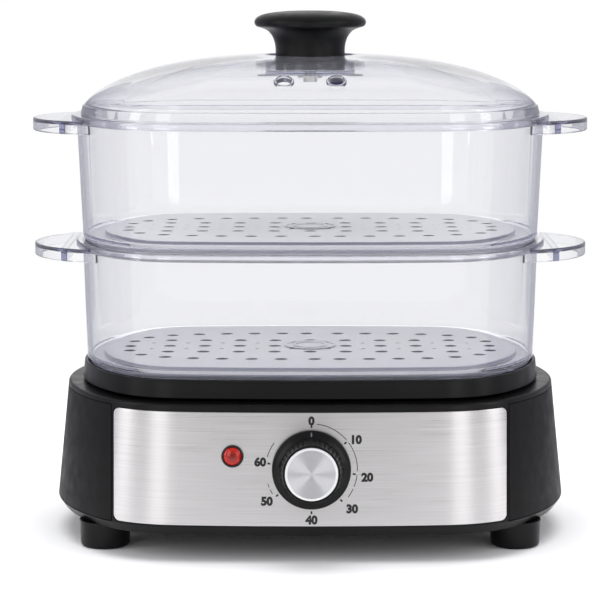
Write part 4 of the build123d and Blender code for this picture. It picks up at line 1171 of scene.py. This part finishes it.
def makeHandle(side, rimTop, wallGrowth):
    plateTop = rimTop - handle["belowRim"]
    piece = prism("handle", discPart(handle["rootX"], handle["reach"], 0),
                  plateTop - handle["depth"], plateTop, side, handle["edge"], 3)
    root = [planRing(wallGrowth - handle["sunk"], plateTop + rise) for rise in (-20, 20)]
    cutter = newPiece("cutter", *shell(root, capped=True))
    clean(cutter)
    combine(piece, cutter, "DIFFERENCE")
    ribHalf = handle["ribWidth"] / 2
    for start, end in ((handle["rootX"], handle["ribX"] - ribHalf),
                       (handle["ribX"] + ribHalf, handle["reach"])):
        pocket = prism("pocket", discPart(start, end, handle["wall"]),
                       plateTop - handle["depth"] - 1, plateTop - handle["plate"], side,
                       handle["pocketEdge"], 2)
        combine(piece, pocket, "DIFFERENCE")
    return piece


def makeMark(floorTop):
    # two low rings in the middle of the floor
    sunk, low = floorTop - basket["markDepth"], floorTop + basket["markFloor"]
    high = floorTop + basket["markHeight"]
    (outer, inner), width = basket["markRadii"], basket["markWidth"]
    return lathe("mark", [(0, sunk)] + rounded([
        (outer, sunk), (outer, high, 0.3), (outer - width, high, 0.3), (outer - width, low, 0.3),
        (inner, low, 0.3), (inner, high, 0.3), (inner - width, high, 0.3),
        (inner - width, low, 0.3)], 2) + [(0, low)], 96)


def makeBasket(node, shoulder, height, bottomGrowth, topGrowth, rimGrowth, footGrowth):
    wall, rimRadius = basket["wall"], basket["rimRadius"]
    rimTop, rimBottom = shoulder + height, shoulder + height - basket["rimHeight"]
    cornerTop, floorTop = shoulder + basket["cornerRise"], shoulder + basket["floorRise"]
    footBottom = shoulder - basket["footHeight"]
    cornerGrowth = bottomGrowth - basket["cornerRise"] / 2
    share = (rimBottom - cornerTop) / (rimTop - cornerTop)
    wallTop = bottomGrowth + share * (topGrowth - bottomGrowth)
    floorGrowth = footGrowth - basket["floorInset"]
    edgeGrowth = floorGrowth - thick - basket["floorSeam"]
    lipGrowth = topGrowth - wall - basket["rimLip"]
    piece = sweep(node + "_moulding", [
        (edgeGrowth, floorTop),
        (floorGrowth, floorTop, 0.8),
        (floorGrowth, shoulder + thick, 0.8),
        (cornerGrowth - wall, shoulder + thick, 0.8),
        (bottomGrowth - wall, cornerTop + thick, 1.5),
        (wallTop - wall, rimBottom, 0.5),
        (lipGrowth, rimBottom, 0.5),
        (lipGrowth, rimTop, rimRadius),
        (rimGrowth, rimTop, rimRadius),
        (rimGrowth, rimBottom, rimRadius),
        (wallTop, rimBottom, 0.6),
        (bottomGrowth, cornerTop, 1.5),
        (cornerGrowth, shoulder),
        (footGrowth, shoulder - 0.02),
        (footGrowth, footBottom, 0.6),
        (footGrowth - wall, footBottom, 0.6),
        (footGrowth - wall, shoulder, 0.5),
        (floorGrowth - thick, shoulder, 0.6),
        (floorGrowth - thick, floorTop - thick, 0.5),
        (edgeGrowth, floorTop - thick),
    ], closed=False)
    join(piece, perforate(planRing(edgeGrowth, 0), circle(1.0, basket["holeSides"]), holePlaces,
                          floorTop, floorTop - thick, basket["holeChamfer"], clearSan))
    clean(piece)
    mark = makeMark(floorTop)
    join(mark, *[makeHandle(side, rimTop, wallTop) for side in (-1, 1)])
    combine(piece, mark, "UNION")
    clean(piece, 0.0005)
    finishPiece(piece, clearSan, node, [node])
    piece.data.materials.append(frostedSan)
    piece.data.materials.append(holeWallShadeSan)
    reach = basket["holeRadius"] + 0.5  # holes cut this far outside the ring
    for face in piece.data.polygons:
        level, slant = face.center.z / mm - floorTop, abs(face.normal.z)
        x, y = face.center.x / mm, face.center.y / mm
        if slant > 0.7 and -1 - basket["floorRise"] < level < 1.0:
            face.material_index = 1
        # hole walls take the painted shade colour
        elif slant < 0.3 and -thick < level < 0 and ringShare(x, y, reach) < 1:
            face.material_index = 2


for node, tier in tiers.items():
    makeBasket(node, **tier)
print("baskets done")

# Lid and its knob.
lid = {
    "seat": 239.8,
    "rimTop": 245.0,
    "rimGrowth": 0.8,
    "rimTopGrowth": -0.6,
    "bead": 0.8,
    "skirtBottom": 235.8,
    "skirtGrowth": -1.4,
    "skirtWall": 2.3,
    "domeBase": 244.1,
    "domeGrowth": -1.2,
    "rise": 29.0,
    "fullness": 2.8,
    "shoulder": 1.4,
    "flat": 0.18,
    "wall": 2.5,
    "domeSteps": 30,
    "wellRadius": 25.6,
    "wellWall": 2.2,
    "wellFloorTop": 265.1,
    "wellUnderside": 262.6,
    "wellRim": 271.2,
    "footRadius": 30.3,
    "footThickness": 1.2,
    "mouth": 25.0,
    "cutFrom": 250.0,
    "cutBeyond": 9.0,
    "mouthEdge": [(0, -1.5), (0.2, -0.95), (0.6, -0.55), (1.3, -0.25), (2.4, -0.05)],
    "screwHole": 2.05,
    "ventX": 14.3,
    "ventY": -69.0,
    "ventRadius": 5.6,
    "ventBore": 4.2,
    "ventRise": 1.4,
}


def domeRings(growth, rise, lowest):
    rings = []
    for turn in evenly(0, pi / 2, lid["domeSteps"], 1):
        share = max(lid["flat"], cos(turn) ** (2 / lid["fullness"]))
        height = lid["domeBase"] + rise * (1 - share ** lid["fullness"]) ** (1 / lid["shoulder"])
        if height > lowest:
            rings.append(planRing(growth, height, share))
        if share == lid["flat"]:
            break
    return rings


insideSkirt = lid["skirtGrowth"] - lid["skirtWall"]
rim = rounded([
    (insideSkirt, lid["skirtBottom"] + 2),
    (insideSkirt, lid["skirtBottom"], 0.5),
    (lid["skirtGrowth"], lid["skirtBottom"], 0.5),
    (lid["skirtGrowth"], lid["seat"], 0.3),
    (lid["rimGrowth"], lid["seat"], 0.5),
    (lid["rimTopGrowth"], lid["rimTop"], lid["bead"]),
    (lid["domeGrowth"] - 0.02, lid["rimTop"] - 0.1),
])
outerRings = [planRing(growth, height) for growth, height in rim]
outerRings += domeRings(lid["domeGrowth"], lid["rise"], lid["rimTop"] + 0.15)
innerRings = domeRings(lid["domeGrowth"] - lid["wall"], lid["rise"] - lid["wall"], 0)
lidPiece = newPiece("lid_moulding", *shell(outerRings))
count = len(stations)
join(lidPiece, newPiece("inside", *shell(innerRings)),
     newPiece("strip", *shell([outerRings[0], innerRings[0]])),
     newPiece("caps", outerRings[-1] + innerRings[-1],
              [tuple(range(count)), tuple(range(count, 2 * count))]))
clean(lidPiece)
top = lid["domeBase"] + lid["rise"]
edge = [(lid["mouth"] + across, top + up) for across, up in lid["mouthEdge"]]
beyond = lid["cutBeyond"]
combine(lidPiece, lathe("bore", [
    (0, lid["cutFrom"]), (lid["mouth"], lid["cutFrom"]), *edge, (edge[-1][0], top + beyond),
    (0, top + beyond)], 128), "DIFFERENCE")
footTop = lid["wellUnderside"] + lid["footThickness"]
wellInner = lid["wellRadius"] - lid["wellWall"]
combine(lidPiece, lathe("well", rounded([
    (lid["screwHole"], lid["wellUnderside"]),
    (lid["footRadius"], lid["wellUnderside"], 0.4),
    (lid["footRadius"], footTop, 0.4),
    (lid["wellRadius"], footTop, 0.5),
    (lid["wellRadius"], lid["wellRim"], 0.2),
    (wellInner, lid["wellRim"], 0.7),
    (wellInner, lid["wellFloorTop"], 0.8),
    (lid["screwHole"], lid["wellFloorTop"]),
]), 128, closed=True), "UNION")

# vents stand square to the dome, so their lean follows its slope there
domeDepth = plan["halfDepth"] + lid["domeGrowth"]
ventShare = -lid["ventY"] / domeDepth
ventLevel = (1 - ventShare ** lid["fullness"]) ** (1 / lid["shoulder"])
ventSlope = lid["fullness"] / lid["shoulder"] * ventShare ** (lid["fullness"] - 1)
ventSlope *= lid["rise"] * ventLevel ** (1 - lid["shoulder"])
ventLean = Matrix.Rotation(atan2(ventSlope, domeDepth), 4, "X")
ventHeight = lid["domeBase"] + lid["rise"] * ventLevel
for side in (-1, 1):
    place = Matrix.Translation((side * lid["ventX"], lid["ventY"], ventHeight)) @ ventLean
    tube = [(0, -lid["wall"])] + rounded([
        (lid["ventRadius"], -lid["wall"], 0.5), (lid["ventRadius"], lid["ventRise"], 0.5),
        (0, lid["ventRise"])], 3)
    combine(lidPiece, lathe("tube", tube, 48, place), "UNION")
    bore = [(0, -beyond), (lid["ventBore"], -beyond), (lid["ventBore"], lid["ventRise"] - 0.4),
            (lid["ventBore"] + 0.5, lid["ventRise"] + 0.1), (lid["ventBore"] + 0.5, beyond),
            (0, beyond)]
    combine(lidPiece, lathe("bore", bore, 48, place), "DIFFERENCE")
clean(lidPiece, 0.0005)
finishPiece(lidPiece, clearSan, "lid", ["lid"])

lidKnob = {
    "bottom": 265.1,
    "neck": 19.75,
    "wall": 2.4,
    "boss": 5.0,
    "core": 19.0,
    "screw": 2.05,
    "screwDepth": 14.0,
    "outside": [  # radius and height over the bottom
        (19.75, 9.5), (19.95, 12.5), (20.6, 15.4), (22.0, 18.6), (24.6, 21.4), (28.0, 22.9),
        (30.6, 23.7), (31.7, 25.2), (31.75, 26.6), (30.8, 28.3), (28.0, 30.0), (23.0, 31.2),
        (15.0, 32.1), (7.0, 32.45), (0, 32.5)],
}
inner = lidKnob["neck"] - lidKnob["wall"]
profile = [(0, lidKnob["screwDepth"]), (lidKnob["screw"], lidKnob["screwDepth"]),
           (lidKnob["screw"], 0), (lidKnob["boss"], 0), (lidKnob["boss"], lidKnob["core"]),
           (inner, lidKnob["core"]), (inner, 0), (lidKnob["neck"] - 0.3, 0),
           (lidKnob["neck"], 0.3), (lidKnob["neck"], 5)] + smoothLine(lidKnob["outside"])
place = Matrix.Translation((0, 0, lidKnob["bottom"]))
finishPiece(lathe("lid_knob_moulding", profile, 128, place), satinBlack, "lid",
            ["lid_knob"])
print("lid done")

# Pieces shown as the CAD has them.
paint = [
    (satinBlack, ["bottom_cover"]),
    (basinBlack, ["water_reservoir"]),
    (castAlloy, ["heater_plate"]),
    (siliconeRed, ["heater_gasket"]),
    (elementSteel, ["heater_element"]),
    (phenolic, ["thermostat", "timer_case", "terminal_block"]),
    (glandRubber, ["cord_gland"]),
    (bulbGlass, ["lamp_bulb"]),
    (zincSteel, ["heater_clamp", "heater_screws", "foot_screws", "cover_screws", "thermal_fuse",
                 "timer_bell", "timer_screws", "timer_shaft", "lamp_clip", "lid_knob_screw",
                 "lid_knob_washer"]),
]
for material, names in paint:
    for name in names:
        if not len(nodes[name].data.materials):
            nodes[name].data.materials.append(material)
        for slot in nodes[name].material_slots:
            slot.link = "OBJECT"
            slot.material = material
print("inner pieces painted")

# Studio, in metres: paper floor, backdrop, two boards beside the object, sky and softboxes.
studio = {
    "floorColours": ("#f0f0f1", "#f4f4f5"),
    "floorHalf": 30.0,
    "floorFront": -12.0,
    "floorBack": 60.0,
    "shadowReach": 0.34,
    "whiteFrom": 0.62,
    "shadowStretch": (0.75, 1.0, 0),  # the shadow's paper is wider than deep
    "world": 0.6,
    "worldSeen": 1.04,
    "worldMirrored": 0.5,
    "worldThroughPlastic": 0.8,
    "backdropAt": 0.9,
    "backdropHalf": 0.36,
    "backdropHeight": 0.62,
    "boardAt": 0.3,
    "boardFrom": -0.12,
    "boardTo": 0.85,
    "boardHeight": 0.55,
    "boardColour": (0.5, 0.5, 0.55),
    "aim": (0, 0, 0.14),
}
lights = {  # place, power, width, height, whether metal and plastic mirror it
    "top_softbox": ((0, 0.1, 1.7), 30.0, 1.6, 1.6, False),
    "left_strip": ((-1.4, -0.5, 0.8), 7.0, 0.5, 1.3, True),
    "right_strip": ((1.4, -0.5, 0.8), 7.0, 0.5, 1.3, True),
    "front_left_softbox": ((-1.15, -2.1, 0.8), 7.0, 0.8, 1.4, True),
    "front_right_softbox": ((1.15, -2.1, 0.8), 7.0, 0.8, 1.4, True),
}


def paperMaterial():
    # matt paper near the object, plain white farther out
    material, tree = newMaterial("studio_paper")
    squeezed = vectorNode(tree, "MULTIPLY", ownPlace(tree), studio["shadowStretch"])
    away = vectorNode(tree, "LENGTH", squeezed)
    far = ramp(tree, away, studio["shadowReach"], studio["whiteFrom"], kind="SMOOTHSTEP")
    rays = addNode(tree, "ShaderNodeLightPath").outputs
    seen = mathNode(tree, "MAXIMUM", rays["Is Camera Ray"], rays["Is Transmission Ray"])
    seen = mathNode(tree, "MAXIMUM", seen, rays["Is Glossy Ray"])
    tone = mixed(tree, grain(tree, 2.0), *[linear(code) for code in studio["floorColours"]])
    matt = addNode(tree, "ShaderNodeBsdfDiffuse", {"Color": tone})
    glow = addNode(tree, "ShaderNodeEmission", {"Color": (1, 1, 1, 1), "Strength": 1.0})
    output(tree, mixedShader(tree, mathNode(tree, "MULTIPLY", far, seen), matt, glow))
    return material


def glowing(name, colour):
    material, tree = newMaterial(name)
    output(tree, addNode(tree, "ShaderNodeEmission", {"Color": (*colour, 1), "Strength": 1.0}))
    return material


def card(name, corners, material, *hidden):
    board = newPiece(name, corners, [(0, 1, 2, 3)])
    board.data.materials.append(material)
    for rays in hidden:
        setattr(board, "visible_" + rays, False)


half, front, back = studio["floorHalf"], studio["floorFront"], studio["floorBack"]
card("studio_floor", [(-half, front, 0), (half, front, 0), (half, back, 0), (-half, back, 0)],
     paperMaterial())

# the backdrop is no larger than the view, so that clear edges pick up the dimmer surroundings
back, half, high = studio["backdropAt"], studio["backdropHalf"], studio["backdropHeight"]
card("backdrop", [(-half, back, 0), (half, back, 0), (half, back, high), (-half, back, high)],
     glowing("backdrop", (1, 1, 1)), "diffuse", "shadow")
near, far, high = studio["boardFrom"], studio["boardTo"], studio["boardHeight"]
for name, side in (("left_board", -1), ("right_board", 1)):
    at = side * studio["boardAt"]
    card(name, [(at, near, 0.002), (at, far, 0.002), (at, far, high), (at, near, high)],
         glowing(name, studio["boardColour"]), "camera", "diffuse", "shadow")

world = bpy.data.worlds.new("studio_world")
world.use_nodes = True
sky = world.node_tree
sky.nodes.clear()
rays = addNode(sky, "ShaderNodeLightPath").outputs
strength = studio["world"]
for ray, level in (("Glossy", "worldMirrored"), ("Transmission", "worldThroughPlastic"),
                   ("Camera", "worldSeen")):
    strength = mixed(sky, rays[f"Is {ray} Ray"], strength, studio[level], "FLOAT")
air = addNode(sky, "ShaderNodeBackground", {"Color": (0.97, 0.97, 1.0, 1), "Strength": strength})
addNode(sky, "ShaderNodeOutputWorld", {"Surface": air.outputs[0]})
scene.world = world

for name, (place, power, width, height, isMirrored) in lights.items():
    light = bpy.data.lights.new(name, "AREA")
    light.shape = "RECTANGLE"
    light.size, light.size_y = width, height
    light.energy = power
    softbox = addObject(name, light)
    softbox.location = place
    softbox.visible_glossy = softbox.visible_transmission = isMirrored
    towards = Vector(studio["aim"]) - Vector(place)
    softbox.rotation_euler = towards.to_track_quat("-Z", "Y").to_euler()

view = {"lens": 145.2, "sensor": 36.0, "shift": -0.0127, "place": (0, -1.4, 0.3325), "down": 8.25}
camera = bpy.data.cameras.new("camera")
camera.lens = view["lens"]
camera.sensor_width = view["sensor"]
camera.shift_x = view["shift"]
cameraObject = addObject("camera", camera)
cameraObject.location = view["place"]
cameraObject.rotation_euler = (radians(90 - view["down"]), 0, 0)
scene.camera = cameraObject
scene.view_settings.view_transform = "Standard"
scene.cycles.max_bounces = 32
scene.cycles.transmission_bounces = 28
scene.cycles.transparent_max_bounces = 32
scene.cycles.glossy_bounces = 8
scene.cycles.diffuse_bounces = 4
scene.cycles.caustics_refractive = False

print("camera and lights ready")
